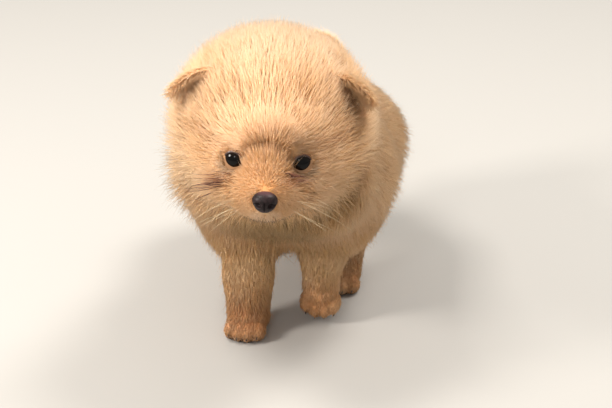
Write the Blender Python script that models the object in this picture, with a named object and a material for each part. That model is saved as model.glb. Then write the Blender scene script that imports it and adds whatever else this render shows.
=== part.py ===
"""A Pomeranian puppy in a walking step, at life size, with a standing puppy coat.

Metres, +Z up. The muzzle points to -Y, the dog's left side is +X, and the origin is on the floor
under the middle of the dog. Three paws stand on the floor and the left forepaw is lifted.
"""

import math

import bpy
import bmesh
import numpy as np
from mathutils import Matrix, Vector

# Fit
GAP = 0.0003
SEED = 7

# The dog is modelled about its own spine, then moved so that the origin is under its middle.
SHIFT = Vector((0.0051, 0.0283, 0.0))

# Trunk, bare: centres and half sizes
CHEST = ((0.0, -0.028, 0.086), (0.029, 0.032, 0.032))
BELLY = ((-0.003, 0.006, 0.080), (0.033, 0.037, 0.027))
RUMP = ((-0.0145, 0.033, 0.076), (0.0275, 0.027, 0.027))
TRUNK_MIDDLE = (-0.004, -0.003, 0.084)
NECK_START = (0.001, -0.036, 0.094)
NECK_END = (0.010, -0.074, 0.120)
NECK_THICK = (0.028, 0.022)

# Head, bare, in its own frame: the middle of the head is its origin
HEAD_PLACE = (0.0125, -0.092, 0.129)
HEAD_YAW = 16.0
HEAD_ROLL = 2.5
CRANIUM = ((0.0, 0.004, 0.001), (0.027, 0.029, 0.027))
CHEEK = ((0.0165, -0.013, -0.011), (0.0145, 0.018, 0.015))
BROW = ((0.0090, -0.0200, 0.0062), (0.0108, 0.009, 0.0085))
BRIDGE = ((0.0, -0.027, -0.0085), (0.0100, 0.0130, 0.0085))
MUZZLE = ((0.0, -0.0330, -0.0175), (0.0140, 0.0175, 0.0100))
WHISKER_PAD = ((0.0055, -0.041, -0.020), (0.0075, 0.009, 0.0065))
JAW = ((0.0, -0.030, -0.0265), (0.0092, 0.0165, 0.0052))
BLEND = 0.006

# Eyes, nose and ears, in the head's frame
EYE_PLACE = (0.0148, -0.0252, -0.0062)
EYE_RADIUS = 0.0068
EYE_TURN = 17.0
LID_RADIUS = 0.0048
LID_THICK = 0.0014
LID_OUT = 0.0048
LID_STRETCH = (1.12, 0.95)
NOSE_PLACE = (0.0, -0.0515, -0.0165)
NOSE_SIZE = (0.0062, 0.0046, 0.0052)
EAR_ROOT = (0.0250, 0.003, 0.0165)
EAR_TIP = (0.0490, 0.001, 0.0160)
EAR_WIDTH = 0.022
EAR_WALL = 0.0024
EAR_CUP = 0.0065
EAR_ARCH = 0.0045
EAR_ROOM = 0.003
EAR_CLEAR = 0.017
EAR_ACROSS = Vector((-0.42, -0.30, 0.86)).normalized()
EAR_BACK = Vector((0.15, 0.93, 0.32)).normalized()
MOUTH_MIDDLE = (0.0, -0.034, -0.020)
MOUTH_DIP = -0.42
MOUTH_WIDTH = 0.0013

# Coat, out to the tips: the head's is a ball that stands back from the eyes, the trunk's is a depth
HEAD_COAT = ((0.0, 0.0180, -0.0070), (0.0535, 0.0510, 0.0530))
RUFF = ((0.0200, 0.0230, -0.0320), (0.0380, 0.0330, 0.0350))
CHEEK_FLUFF = ((0.0165, -0.0230, -0.0200), (0.0130, 0.0150, 0.0105))
COAT_BLEND = 0.008
FACE_DENT = 0.0075
FACE_DENT_MIDDLE = (0.0, -0.012)
FACE_DENT_SIZE = (0.029, 0.021)
EAR_DENT = 0.005
EAR_DENT_MIDDLE = (0.043, 0.018)
EAR_DENT_SIZE = 0.014
TRUNK_COAT = 0.0240
BELLY_COAT = 0.0125
BACK_TRIM = 0.010
TAIL_COAT = 0.013

# Locks: the core stands half way out, and flat tapered locks rise from it to the tips
CORE_SHARE = 0.5
LOCK_SINK = 0.0045
LOCK_REACH = (0.021, 0.027)
LOCK_WIDTH = 0.0200
LOCK_THICK = 0.0060
LOCK_SPACING = 0.0175
LOCK_FULL_COAT = 0.010
LOCK_LEAST_COAT = 0.0035
LOCK_LOWEST = 0.046
LOCK_TRIES = 5000

# Legs: joints from the trunk down, with the thickness at each, short fur included
LEGS = {
    "foreleg_right": (
        [(-0.018, -0.034, 0.074), (-0.018, -0.038, 0.056), (-0.0135, -0.054, 0.028), (-0.012, -0.059, 0.009)],
        [0.017, 0.0150, 0.0127, 0.0115],
    ),
    "foreleg_left": (
        [(0.020, -0.032, 0.076), (0.024, -0.030, 0.060), (0.0235, -0.040, 0.043), (0.0225, -0.0405, 0.031)],
        [0.017, 0.0145, 0.0122, 0.0105],
    ),
    "hindleg_right": (
        [(-0.028, 0.040, 0.076), (-0.034, 0.038, 0.054), (-0.035, 0.064, 0.026), (-0.0365, 0.058, 0.009)],
        [0.016, 0.0145, 0.0105, 0.0095],
    ),
    "hindleg_left": (
        [(0.005, 0.036, 0.076), (0.014, 0.010, 0.054), (0.019, 0.018, 0.026), (0.020, 0.009, 0.009)],
        [0.016, 0.0155, 0.0115, 0.0100],
    ),
}

# Paws: sole centre, heading and nose-down pitch in degrees
PAWS = {
    "forepaw_right": ((-0.0108, -0.0620, 0.0), 6.0, 0.0),
    "forepaw_left": ((0.0210, -0.0335, 0.0175), 8.0, 62.0),
    "hindpaw_right": ((-0.0365, 0.0540, 0.0), -4.0, 0.0),
    "hindpaw_left": ((0.0205, 0.0050, 0.0), 8.0, 0.0),
}
PAW_SIZE = (0.0100, 0.0115, 0.0075)
TOE_SIZE = (0.0044, 0.0066, 0.0050)
TOE_SPLAY = 15.0

# Tail: short, and curled up close behind the rump
TAIL_PATH = [
    (-0.013, 0.052, 0.088),
    (-0.014, 0.066, 0.088),
    (-0.015, 0.0745, 0.097),
    (-0.015, 0.071, 0.106),
    (-0.014, 0.058, 0.1105),
]
TAIL_THICK = [0.008, 0.0068, 0.0058, 0.0040, 0.0018]
TAIL_FLUFF = [0.5, 0.9, 0.9, 0.9, 0.6]
TAIL_MIDDLE = (-0.0145, 0.067, 0.097)

# Cuts between nodes: how far each cut stands off the limb, and the planes across the neck and paws
REGION_MARGIN = 0.004
NECK_WAY = (-0.19, 0.81, -0.553)
HEAD_CUT = 0.030
NECK_CUT = 0.058
PAW_CUTS = {
    "forepaw_right": ((-0.0118, -0.0640, 0.0135), (-0.0118, -0.0640, -0.0060)),
    "forepaw_left": ((0.0228, -0.0420, 0.0305), (0.0190, -0.0315, -0.0055)),
    "hindpaw_right": ((-0.0365, 0.0510, 0.0130), (-0.0365, 0.0510, -0.0060)),
    "hindpaw_left": ((0.0205, 0.0020, 0.0130), (0.0205, 0.0020, -0.0060)),
}
PAW_CUT_RADIUS = 0.0200


def clear_scene():
    for thing in list(bpy.data.objects):
        bpy.data.objects.remove(thing, do_unlink=True)


def material(name, colour, roughness):
    made = bpy.data.materials.new(name)
    made.use_nodes = True
    shader = made.node_tree.nodes["Principled BSDF"]
    shader.inputs["Base Color"].default_value = (*colour, 1.0)
    shader.inputs["Roughness"].default_value = roughness
    shader.inputs["Metallic"].default_value = 0.0
    return made


def smoothstep(low, high, x):
    t = np.clip((x - low) / (high - low), 0.0, 1.0)
    return t * t * (3.0 - 2.0 * t)


def ball(points, centre, half):
    """Distance to an ellipsoid, near enough close to its surface."""
    q = (points - np.array(centre)) / np.array(half)
    near = np.linalg.norm(q, axis=1) + 1e-9
    return near * (near - 1.0) / (np.linalg.norm(q / np.array(half), axis=1) + 1e-9)


def limb(points, start, end, thick):
    """Distance to a rounded bar that tapers from one thickness to the other."""
    a, b = np.array(start), np.array(end)
    along = np.clip((points - a) @ (b - a) / ((b - a) @ (b - a)), 0.0, 1.0)
    away = np.linalg.norm(points - a - along[:, None] * (b - a), axis=1)
    return away - (thick[0] + (thick[1] - thick[0]) * along)


def merged(distances, soft):
    """Union of forms with a soft crease between them."""
    total = distances[0]
    for other in distances[1:]:
        h = np.clip(0.5 + 0.5 * (other - total) / soft, 0.0, 1.0)
        total = other + (total - other) * h - soft * h * (1.0 - h)
    return total


def mirrored(form):
    (x, y, z), half = form
    return (-x, y, z), half


HEAD_FRAME = (
    Matrix.Translation(HEAD_PLACE)
    @ Matrix.Rotation(math.radians(HEAD_YAW), 4, "Z")
    @ Matrix.Rotation(math.radians(HEAD_ROLL), 4, "Y")
)


def into_head(points):
    frame = np.array(HEAD_FRAME.inverted())
    return points @ frame[:3, :3].T + frame[:3, 3]


def bare_head(points):
    q = into_head(points)
    forms = [CRANIUM, CHEEK, mirrored(CHEEK), BROW, mirrored(BROW)]
    forms += [BRIDGE, MUZZLE, WHISKER_PAD, mirrored(WHISKER_PAD), JAW]
    return merged([ball(q, *form) for form in forms], BLEND)


def bare_trunk(points):
    forms = [ball(points, *form) for form in (CHEST, BELLY, RUMP)]
    forms.append(limb(points, NECK_START, NECK_END, NECK_THICK))
    for joints, thick in LEGS.values():
        forms.append(limb(points, joints[0], joints[1], (thick[0], thick[1])))
    return merged(forms, 2.0 * BLEND)


def head_coat(points):
    """Distance to the coat round the head: a ball that stands back from the eyes, a ruff and full cheeks."""
    q = into_head(points)
    across = (q[:, 0] - FACE_DENT_MIDDLE[0]) / FACE_DENT_SIZE[0]
    upward = (q[:, 2] - FACE_DENT_MIDDLE[1]) / FACE_DENT_SIZE[1]
    dent = FACE_DENT * np.exp(-(across**2 + upward**2))
    ear_side = (np.abs(q[:, 0]) - EAR_DENT_MIDDLE[0]) / EAR_DENT_SIZE
    ear_up = (q[:, 2] - EAR_DENT_MIDDLE[1]) / EAR_DENT_SIZE
    dent += EAR_DENT * np.exp(-(ear_side**2 + ear_up**2))
    crown = ball(q, *HEAD_COAT) + dent * smoothstep(0.010, -0.004, q[:, 1])
    one_side = np.column_stack((np.abs(q[:, 0]), q[:, 1], q[:, 2]))
    return merged([crown, ball(one_side, *RUFF), ball(one_side, *CHEEK_FLUFF)], COAT_BLEND)


def trunk_coat(points):
    """Depth of coat on the trunk: full on the ruff and sides, flatter on the back, thin below."""
    low = smoothstep(0.080, 0.046, points[:, 2])
    back = smoothstep(0.080, 0.115, points[:, 2]) * smoothstep(-0.030, 0.010, points[:, 1])
    return TRUNK_COAT + (BELLY_COAT - TRUNK_COAT) * low - BACK_TRIM * back


def head_form(points, share=CORE_SHARE):
    """The head with a share of its coat: 0 is bare, 1 is out to the tips."""
    bare = bare_head(points)
    return bare + share * (merged([bare, head_coat(points)], BLEND) - bare)


def trunk_form(points, share=CORE_SHARE):
    return bare_trunk(points) - share * trunk_coat(points)


def tail_form(points, share=CORE_SHARE):
    thick = [t + share * TAIL_COAT * fluff for t, fluff in zip(TAIL_THICK, TAIL_FLUFF)]
    bars = [limb(points, a, b, (ra, rb)) for a, b, ra, rb in zip(TAIL_PATH, TAIL_PATH[1:], thick, thick[1:])]
    return merged(bars, 0.006)


def slope(form, points):
    """Outward directions of a form at some points."""
    step = 0.0004
    ways = []
    for axis in np.eye(3):
        ways.append(form(points + axis * step) - form(points - axis * step))
    ways = np.array(ways).T
    return ways / (np.linalg.norm(ways, axis=1)[:, None] + 1e-12)


def surface(field, origin, ways, reach):
    """Where rays from a point inside a form leave it."""
    low, high = np.zeros(len(ways)), np.full(len(ways), reach)
    for _ in range(26):
        middle = 0.5 * (low + high)
        inside = field(origin + ways * middle[:, None]) < 0.0
        low, high = np.where(inside, middle, low), np.where(inside, high, middle)
    return origin + ways * (0.5 * (low + high))[:, None]


def mesh_object(name, points, faces, look):
    """A mesh in triangles, so that a form and its grown copy bend along the same diagonals."""
    triangles = [(face[0], face[k], face[k + 1]) for face in faces for k in range(1, len(face) - 1)]
    mesh = bpy.data.meshes.new(name)
    mesh.from_pydata([tuple(p) for p in points], [], triangles)
    mesh.materials.append(look)
    made = bpy.data.objects.new(name, mesh)
    bpy.context.scene.collection.objects.link(made)
    work = bmesh.new()
    work.from_mesh(mesh)
    bmesh.ops.recalc_face_normals(work, faces=work.faces)
    work.to_mesh(mesh)
    work.free()
    return made


def round_form(name, field, origin, look, rings, sides, pole=(0.0, -1.0, 0.0), crowd=1.0, reach=0.16):
    """A closed skin round a form, from rays that fan out about a pole; crowd above 1 packs rings near it."""
    turn = Vector((0.0, 0.0, 1.0)).rotation_difference(Vector(pole)).to_matrix()
    ways = [(0.0, 0.0, 1.0)]
    for ring in range(1, rings):
        tilt = math.pi * (ring / rings) ** crowd
        for side in range(sides):
            spin = 2.0 * math.pi * side / sides
            ways.append((math.sin(tilt) * math.cos(spin), math.sin(tilt) * math.sin(spin), math.cos(tilt)))
    ways.append((0.0, 0.0, -1.0))
    points = surface(field, np.array(origin), np.array(ways) @ np.array(turn).T, reach)
    last = len(ways) - 1
    faces = [(0, 1 + side, 1 + (side + 1) % sides) for side in range(sides)]
    for ring in range(rings - 2):
        for side in range(sides):
            a, b = 1 + ring * sides + side, 1 + ring * sides + (side + 1) % sides
            faces.append((a, a + sides, b + sides, b))
    start = 1 + (rings - 2) * sides
    faces += [(start + side, last, start + (side + 1) % sides) for side in range(sides)]
    return mesh_object(name, points, faces, look)


def tube(name, path, thick, sides, look, steps=4):
    """A round bar along a smooth path, closed at both ends."""
    joints = [Vector(p) for p in path]
    ends = [joints[0] * 2 - joints[1], *joints, joints[-1] * 2 - joints[-2]]
    sizes = [thick[0], *thick, thick[-1]]
    line, widths = [], []
    for i in range(1, len(ends) - 2):
        for step in range(steps):
            t = step / steps
            weights = (
                -0.5 * t**3 + t**2 - 0.5 * t,
                1.5 * t**3 - 2.5 * t**2 + 1.0,
                -1.5 * t**3 + 2.0 * t**2 + 0.5 * t,
                0.5 * t**3 - 0.5 * t**2,
            )
            line.append(sum((w * ends[i - 1 + k] for k, w in enumerate(weights)), Vector()))
            widths.append(sum(w * sizes[i - 1 + k] for k, w in enumerate(weights)))
    line.append(joints[-1])
    widths.append(thick[-1])
    points, faces = [], []
    side_way = (line[1] - line[0]).orthogonal().normalized()
    for i, (spot, width) in enumerate(zip(line, widths)):
        ahead = (line[min(i + 1, len(line) - 1)] - line[max(i - 1, 0)]).normalized()
        side_way = (side_way - ahead * side_way.dot(ahead)).normalized()
        up_way = ahead.cross(side_way)
        for k in range(sides):
            spin = 2.0 * math.pi * k / sides
            points.append(spot + (side_way * math.cos(spin) + up_way * math.sin(spin)) * width)
    for i in range(len(line) - 1):
        for k in range(sides):
            a, b = i * sides + k, i * sides + (k + 1) % sides
            faces.append((a, b, b + sides, a + sides))
    faces.append(tuple(range(sides)))
    faces.append(tuple(range((len(line) - 1) * sides, len(line) * sides)))
    return mesh_object(name, points, faces, look)


def combine(target, others, operation):
    """Joins or cuts target by others in one Boolean, then removes them."""
    group = bpy.data.collections.new("operands")
    bpy.context.scene.collection.children.link(group)
    for other in others:
        group.objects.link(other)
    step = target.modifiers.new("combine", "BOOLEAN")
    step.operation = operation
    step.operand_type = "COLLECTION"
    step.collection = group
    step.solver = "MANIFOLD"
    apply_modifiers(target)
    for other in others:
        bpy.data.objects.remove(other, do_unlink=True)
    bpy.data.collections.remove(group)
    return target


def apply_modifiers(thing):
    graph = bpy.context.evaluated_depsgraph_get()
    mesh = bpy.data.meshes.new_from_object(thing.evaluated_get(graph))
    thing.modifiers.clear()
    thing.data = mesh


def copy_of(thing, name):
    made = bpy.data.objects.new(name, thing.data.copy())
    bpy.context.scene.collection.objects.link(made)
    return made


def keep_largest(thing):
    """Drops loose scraps that a cut leaves."""
    work = bmesh.new()
    work.from_mesh(thing.data)
    bmesh.ops.triangulate(work, faces=work.faces)
    left, groups = set(work.verts), []
    while left:
        stack = [left.pop()]
        group = set(stack)
        while stack:
            for edge in stack.pop().link_edges:
                for vert in edge.verts:
                    if vert in left:
                        left.discard(vert)
                        group.add(vert)
                        stack.append(vert)
        groups.append(group)
    best = max(groups, key=len)
    bmesh.ops.delete(work, geom=[v for v in work.verts if v not in best], context="VERTS")
    work.to_mesh(thing.data)
    work.free()


def part_off(whole, region, name, look):
    """Takes what lies in a region from the whole, as a node, and leaves a thin gap round it."""
    inner = region(0.0, look)
    node = combine(copy_of(whole, name), [inner], "INTERSECT")
    outer = region(GAP, look)
    combine(whole, [outer], "DIFFERENCE")
    keep_largest(node)
    return node


def box_region(point, normal, size=0.4):
    """The half of space behind a plane, as a large block."""

    def make(grow, look):
        n = Vector(normal).normalized()
        bpy.ops.mesh.primitive_cube_add(size=size)
        block = bpy.context.object
        block.data.materials.append(look)
        turn = n.to_track_quat("Z", "Y").to_matrix().to_4x4()
        block.data.transform(Matrix.Translation(Vector(point) + n * (grow - size / 2)) @ turn)
        return block

    return make


def bent_limb(name, joints, thick, middle, look, rings=14, sides=12):
    """A closed skin round a bent limb, all of it seen from the middle."""

    def field(p):
        bars = [limb(p, a, b, (ra, rb)) for a, b, ra, rb in zip(joints, joints[1:], thick, thick[1:])]
        return merged(bars, 0.004)

    return round_form(name, field, middle, look, rings, sides, pole=(0.0, 0.0, 1.0), reach=0.12)


def limb_region(joints, thick, middle):
    """The room round a bent limb, as a region."""

    def make(grow, look):
        room = [t + REGION_MARGIN for t in thick]
        made = bent_limb("region", joints, room, middle, look, rings=9, sides=10)
        for vert, normal in zip(made.data.vertices, [v.normal.copy() for v in made.data.vertices]):
            vert.co += normal * grow
        return made

    return make


def bar_region(top, bottom, radius, sides=14):
    """A straight round bar between two points, as a region."""

    def make(grow, look):
        a, b = Vector(top), Vector(bottom)
        out = (a - b).normalized() * grow
        return tube("region", [a + out, b - out], [radius + grow] * 2, sides, look, steps=1)

    return make


def paw(name, place, heading, pitch, look, grow=0.0):
    """A rounded paw with four toes; its sole is flat."""
    toes = []
    for k in (-1.5, -0.5, 0.5, 1.5):
        way = math.radians(k * TOE_SPLAY)
        out = 0.0105 if abs(k) < 1.0 else 0.0085
        spot = (math.sin(way) * (PAW_SIZE[0] + 0.0075), -out, TOE_SIZE[2] * 0.92)
        toes.append((spot, TOE_SIZE))

    def field(p):
        palm = ball(p, (0.0, 0.0, 0.0066), PAW_SIZE)
        return merged([palm] + [ball(p, *toe) for toe in toes], 0.0022) - grow

    made = round_form(name, field, (0.0, -0.003, 0.006), look, 10, 18, pole=(0, -1, 0.25), reach=0.04)
    for vert in made.data.vertices:
        vert.co.z = max(vert.co.z, 0.0)
    turn = Matrix.Rotation(math.radians(heading), 4, "Z") @ Matrix.Rotation(math.radians(pitch), 4, "X")
    made.data.transform(Matrix.Translation(place) @ turn)
    return made


def lids(side, look):
    """The rim of lids round one eye."""
    bpy.ops.mesh.primitive_torus_add(
        major_radius=LID_RADIUS, minor_radius=LID_THICK, major_segments=20, minor_segments=6
    )
    rim = bpy.context.object
    rim.data.materials.append(look)
    almond = Matrix.Diagonal((*LID_STRETCH, 1.0, 1.0))
    rim.data.transform(eye_frame(side) @ Matrix.Translation((0, 0, LID_OUT)) @ almond)
    return rim


def eye_frame(side):
    """An eye's own frame in the world: +Z looks out, +Y is up."""
    x, y, z = EYE_PLACE
    out = math.radians(EYE_TURN)
    gaze = Vector((side * math.sin(out), -math.cos(out), 0.08)).normalized()
    turn = gaze.to_track_quat("Z", "Y").to_matrix().to_4x4()
    return HEAD_FRAME @ Matrix.Translation((side * x, y, z)) @ turn


def eyeball(name, side, look, grow=0.0):
    bpy.ops.mesh.primitive_uv_sphere_add(segments=16, ring_count=9, radius=EYE_RADIUS + grow)
    ball_object = bpy.context.object
    ball_object.name = name
    ball_object.data.materials.append(look)
    ball_object.data.transform(eye_frame(side))
    return ball_object


def nose(name, look, grow=0.0):
    """The nose leather: a rounded wedge, wide above and narrow at the lip."""

    def field(p):
        wide, deep, high = NOSE_SIZE
        upper = ball(p, (0.0, 0.0, 0.0012), (wide, deep, high * 0.72))
        lower = ball(p, (0.0, 0.0004, -0.0024), (wide * 0.55, deep * 0.8, high * 0.62))
        return merged([upper, lower], 0.0018) - grow

    made = round_form(name, field, (0.0, 0.0, -0.0005), look, 9, 14, reach=0.02)
    made.data.transform(HEAD_FRAME @ Matrix.Translation(NOSE_PLACE))
    return made


def nostrils(look):
    """Two short bores that run back and out into the nose."""
    made = []
    for side in (-1.0, 1.0):
        bpy.ops.mesh.primitive_uv_sphere_add(segments=8, ring_count=5, radius=1.0)
        hole = bpy.context.object
        hole.data.materials.append(look)
        place = Matrix.Translation(NOSE_PLACE) @ Matrix.Translation((side * 0.0029, -0.0040, 0.0002))
        turn = Matrix.Rotation(math.radians(-side * 32.0), 4, "Y")
        hole.data.transform(HEAD_FRAME @ place @ turn @ Matrix.Diagonal((0.0011, 0.0024, 0.0017, 1.0)))
        made.append(hole)
    return made


def mouth_line(look):
    """The groove between the lips, round the front of the muzzle, and the cleft up to the nose."""
    frame = np.array(HEAD_FRAME)
    ways, spread = [], [math.radians(a) for a in range(-105, 106, 15)]
    for turn in spread:
        ways.append((math.sin(turn), -math.cos(turn), MOUTH_DIP * (1.0 - 0.55 * abs(math.sin(turn)))))
    ways = np.array(ways) / np.linalg.norm(ways, axis=1)[:, None] @ frame[:3, :3].T
    start = np.array(HEAD_FRAME @ Vector(MOUTH_MIDDLE))
    line = surface(bare_head, start, ways, 0.04)
    groove = tube("mouth", line, [MOUTH_WIDTH / 2] * len(line), 6, look, steps=1)
    middle = Vector(line[len(line) // 2])
    top = HEAD_FRAME @ (Vector(NOSE_PLACE) + Vector((0.0, -0.0010, -NOSE_SIZE[2])))
    cleft = tube("cleft", [top, middle], [MOUTH_WIDTH / 2] * 2, 6, look, steps=1)
    return [groove, cleft]


def ear(name, side, look, hollow=False):
    """A short ear, folded round an open cup that faces forwards and out; hollow is the room it needs."""
    grow = GAP if hollow else 0.0
    front = EAR_ROOM if hollow else 0.0
    root, tip = Vector(EAR_ROOT), Vector(EAR_TIP)
    along = (tip - root).normalized()
    rows, across = 8, 8
    outer, inner = [], []
    for row in range(rows):
        t = row / (rows - 1)
        half = EAR_WIDTH / 2 * math.sqrt(max(0.0, 1.0 - (1.1 * t - 0.1) ** 4)) * (1.0 - 0.30 * t)
        half = max(half, 0.0020) + grow
        spine = root.lerp(tip, t) + Vector((0.0, 0.0, EAR_ARCH * math.sin(math.pi * t)))
        spine += along * grow * (2.0 * t - 1.0)
        for col in range(across + 1):
            u = -1.0 + 2.0 * col / across
            spot = spine + EAR_ACROSS * (u * half) + EAR_BACK * EAR_CUP * (1.0 - 0.75 * t) * (1.0 - u * u)
            wall = EAR_WALL * (0.8 + 0.2 * (1.0 - u * u)) * (1.0 - 0.35 * t)
            outer.append(spot + EAR_BACK * grow)
            if hollow:
                inner.append(spine + EAR_ACROSS * (u * half) - EAR_BACK * (EAR_WALL + front))
            else:
                inner.append(spot - EAR_BACK * wall)
    points = [Vector((side * p.x, p.y, p.z)) for p in outer + inner]
    count, wide = len(outer), across + 1
    faces = []
    for row in range(rows - 1):
        for col in range(across):
            a = row * wide + col
            faces.append((a, a + 1, a + 1 + wide, a + wide))
            faces.append((count + a, count + a + wide, count + a + 1 + wide, count + a + 1))
    edge = list(range(wide))
    edge += [row * wide + across for row in range(1, rows)]
    edge += [(rows - 1) * wide + col for col in range(across - 1, -1, -1)]
    edge += [row * wide for row in range(rows - 2, 0, -1)]
    for a, b in zip(edge, edge[1:] + edge[:1]):
        faces.append((a, count + a, count + b, b))
    return mesh_object(name, [HEAD_FRAME @ p for p in points], faces, look)


def head_lie(points):
    """Hair on the head runs away from the bridge of the nose."""
    return points - np.array(HEAD_FRAME @ Vector(BRIDGE[0]))


def trunk_lie(points):
    """Hair on the trunk runs back and down, and straight down on the chest."""
    chest = smoothstep(-0.035, -0.060, points[:, 1])[:, None]
    back = smoothstep(0.105, 0.130, points[:, 2])[:, None]
    side = np.array((0.0, 0.62, -0.78)) * (1.0 - back) + np.array((0.0, 1.0, -0.10)) * back
    outward = np.column_stack((points[:, 0] * 6.0, np.zeros(len(points)), np.zeros(len(points))))
    return side * (1.0 - chest) + (np.array((0.0, -0.10, -1.0)) + outward) * chest + 0.35 * outward


def tail_lie(points):
    """Hair on the tail runs on towards its tip, and fans out to both sides."""
    ahead = np.array(TAIL_PATH[-1]) - points
    fan = np.column_stack((np.sign(points[:, 0]), np.zeros(len(points)), np.zeros(len(points))))
    return ahead / np.linalg.norm(ahead, axis=1)[:, None] + 0.6 * fan


def lock(root, outward, lie, tips, reach, width, look):
    """One flat, tapered lock: its root is sunk in the core and its tip lies at the coat's surface."""
    root, outward, lie = Vector(root), Vector(outward), Vector(lie)
    lie = (lie - outward * lie.dot(outward)).normalized()
    across = outward.cross(lie).normalized()
    rise = -float(tips(np.array([root]))[0])
    start = root - outward * LOCK_SINK
    bend = root + outward * rise * 0.72 + lie * reach * 0.12
    tip = root + outward * rise + lie * reach
    tip -= outward * float(tips(np.array([tip]))[0])
    points = []
    for t, share in ((0.0, 0.80), (0.40, 1.0), (0.72, 0.70)):
        spot = start * (1 - t) ** 2 + bend * 2 * t * (1 - t) + tip * t**2
        ahead = ((bend - start) * (1 - t) + (tip - bend) * t).normalized()
        ridge = across.cross(ahead) * -1.0
        half = width / 2 * share
        points += [spot - across * half, spot + across * half, spot + ridge * LOCK_THICK * share]
    points.append(tip)
    faces = [(0, 1, 2)]
    for ring in (0, 3):
        for k in range(3):
            a, b = ring + k, ring + (k + 1) % 3
            faces.append((a, b, b + 3, a + 3))
    faces += [(6, 7, 9), (7, 8, 9), (8, 6, 9)]
    return mesh_object("lock", points, faces, look)


def locks(form, origin, lie, keep, look, reach=0.16):
    """Locks spread evenly over a form where keep allows, most of them away from the thin coat."""
    rng = np.random.default_rng(SEED)
    ways = rng.normal(size=(LOCK_TRIES, 3))
    ways /= np.linalg.norm(ways, axis=1)[:, None]
    points = surface(form, np.array(origin), ways, reach)
    tips = lambda p: form(p, 1.0)
    room = -tips(points)
    fit = keep(points) & (room > LOCK_LEAST_COAT) & (points[:, 2] > LOCK_LOWEST)
    points, room = points[fit], room[fit]
    outwards, lies = slope(form, points), lie(points)
    made, taken = [], np.empty((0, 3))
    sizes = np.clip(room / LOCK_FULL_COAT, 0.5, 1.0)
    for spot, outward, way, size in zip(points, outwards, lies, sizes):
        if len(taken) and np.linalg.norm(taken - spot, axis=1).min() < LOCK_SPACING:
            continue
        taken = np.vstack((taken, spot))
        length = rng.uniform(*LOCK_REACH) * size
        width = LOCK_WIDTH * rng.uniform(0.9, 1.15) * size
        turn = Vector(way) + Vector(rng.normal(size=3)) * 0.12 * Vector(way).length
        made.append(lock(spot, outward, turn, tips, length, width, look))
    return made


def all_locks(coat):
    """Locks on the head, trunk and tail, each only where no other form covers its root."""

    def on_head(p):
        return (trunk_form(p) > 0.0) & (clear_of_ears(p))

    def on_trunk(p):
        return (head_form(p) > 0.0) & (tail_form(p) > 0.0)

    def on_tail(p):
        return trunk_form(p) > 0.0

    made = locks(head_form, HEAD_PLACE, head_lie, on_head, coat)
    made += locks(trunk_form, TRUNK_MIDDLE, trunk_lie, on_trunk, coat)
    return made + locks(tail_form, TAIL_MIDDLE, tail_lie, on_tail, coat)


def clear_of_ears(points):
    """True away from the ears, in front of and beside their cups."""
    q = into_head(points)
    one_side = np.column_stack((np.abs(q[:, 0]), q[:, 1], q[:, 2]))
    middle = (np.array(EAR_ROOT) + np.array(EAR_TIP)) / 2
    return np.linalg.norm(one_side - middle, axis=1) > EAR_CLEAR


def whole_dog(coat):
    """The whole animal as one closed form, with the eyes' sockets, the mouth and the nose's seat cut in."""
    face_pole = HEAD_FRAME.to_3x3() @ Vector((0.0, -0.93, -0.36))
    head = round_form("head_whole", head_form, HEAD_PLACE, coat, 24, 28, pole=face_pole, crowd=1.35)
    pieces = [round_form("trunk", trunk_form, TRUNK_MIDDLE, coat, 18, 20)]
    pieces.append(round_form("tail_whole", tail_form, TAIL_MIDDLE, coat, 10, 12, reach=0.08))
    for name, (joints, thick) in LEGS.items():
        pieces.append(bent_limb(name + "_whole", joints, thick, joints[1], coat))
    for name, (place, heading, pitch) in PAWS.items():
        pieces.append(paw(name + "_whole", place, heading, pitch, coat))
    pieces += [lids(side, coat) for side in (-1.0, 1.0)]
    pieces += all_locks(coat)
    whole = combine(head, pieces, "UNION")
    keep_largest(whole)
    cutters = [eyeball("socket", side, coat, GAP) for side in (-1.0, 1.0)]
    cutters += mouth_line(coat)
    cutters.append(nose("nose_seat", coat, GAP))
    return combine(whole, cutters, "DIFFERENCE")


def divide(whole, coat):
    """Cuts the whole into its nodes, face to face with a thin gap; what is left is the torso."""
    for name, (top, bottom) in PAW_CUTS.items():
        part_off(whole, bar_region(top, bottom, PAW_CUT_RADIUS), name, coat)
    for name, (joints, thick) in LEGS.items():
        room = limb_region(joints, thick, joints[1])
        part_off(whole, room, name, coat)
    tail_room = [t + TAIL_COAT * fluff for t, fluff in zip(TAIL_THICK, TAIL_FLUFF)]
    part_off(whole, limb_region(TAIL_PATH, tail_room, TAIL_MIDDLE), "tail", coat)
    for name, distance in (("head", HEAD_CUT), ("neck", NECK_CUT)):
        spot = Vector(HEAD_PLACE) + Vector(NECK_WAY) * distance
        part_off(whole, box_region(spot, NECK_WAY), name, coat)
    whole.name = "torso"
    keep_largest(whole)


def main():
    clear_scene()
    coat = material("coat", (0.82, 0.55, 0.30), 0.85)
    dark = material("nose_leather", (0.035, 0.02, 0.02), 0.35)
    glossy = material("eye", (0.01, 0.008, 0.008), 0.08)
    whole = whole_dog(coat)
    for side, word in ((-1.0, "right"), (1.0, "left")):
        eyeball("eye_" + word, side, glossy)
        combine(whole, [ear("hollow", side, coat, hollow=True)], "DIFFERENCE")
        ear("ear_" + word, side, coat)
    combine(nose("nose", dark), nostrils(dark), "DIFFERENCE")
    divide(whole, coat)
    for node in bpy.context.scene.objects:
        node.data.transform(Matrix.Translation(SHIFT))


main()
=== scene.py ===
"""The Pomeranian puppy's looks: one skin, a coat of mesh tufts, eyes, lids, nose, whiskers and claws.

Metres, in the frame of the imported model. The forms below are the same as in the model's own source,
so the skin lies just inside its solids and the tips of the coat reach its outline.
"""

import math

import bpy
import bmesh
import numpy as np
from mathutils import Matrix, Vector
from mathutils.kdtree import KDTree


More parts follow.
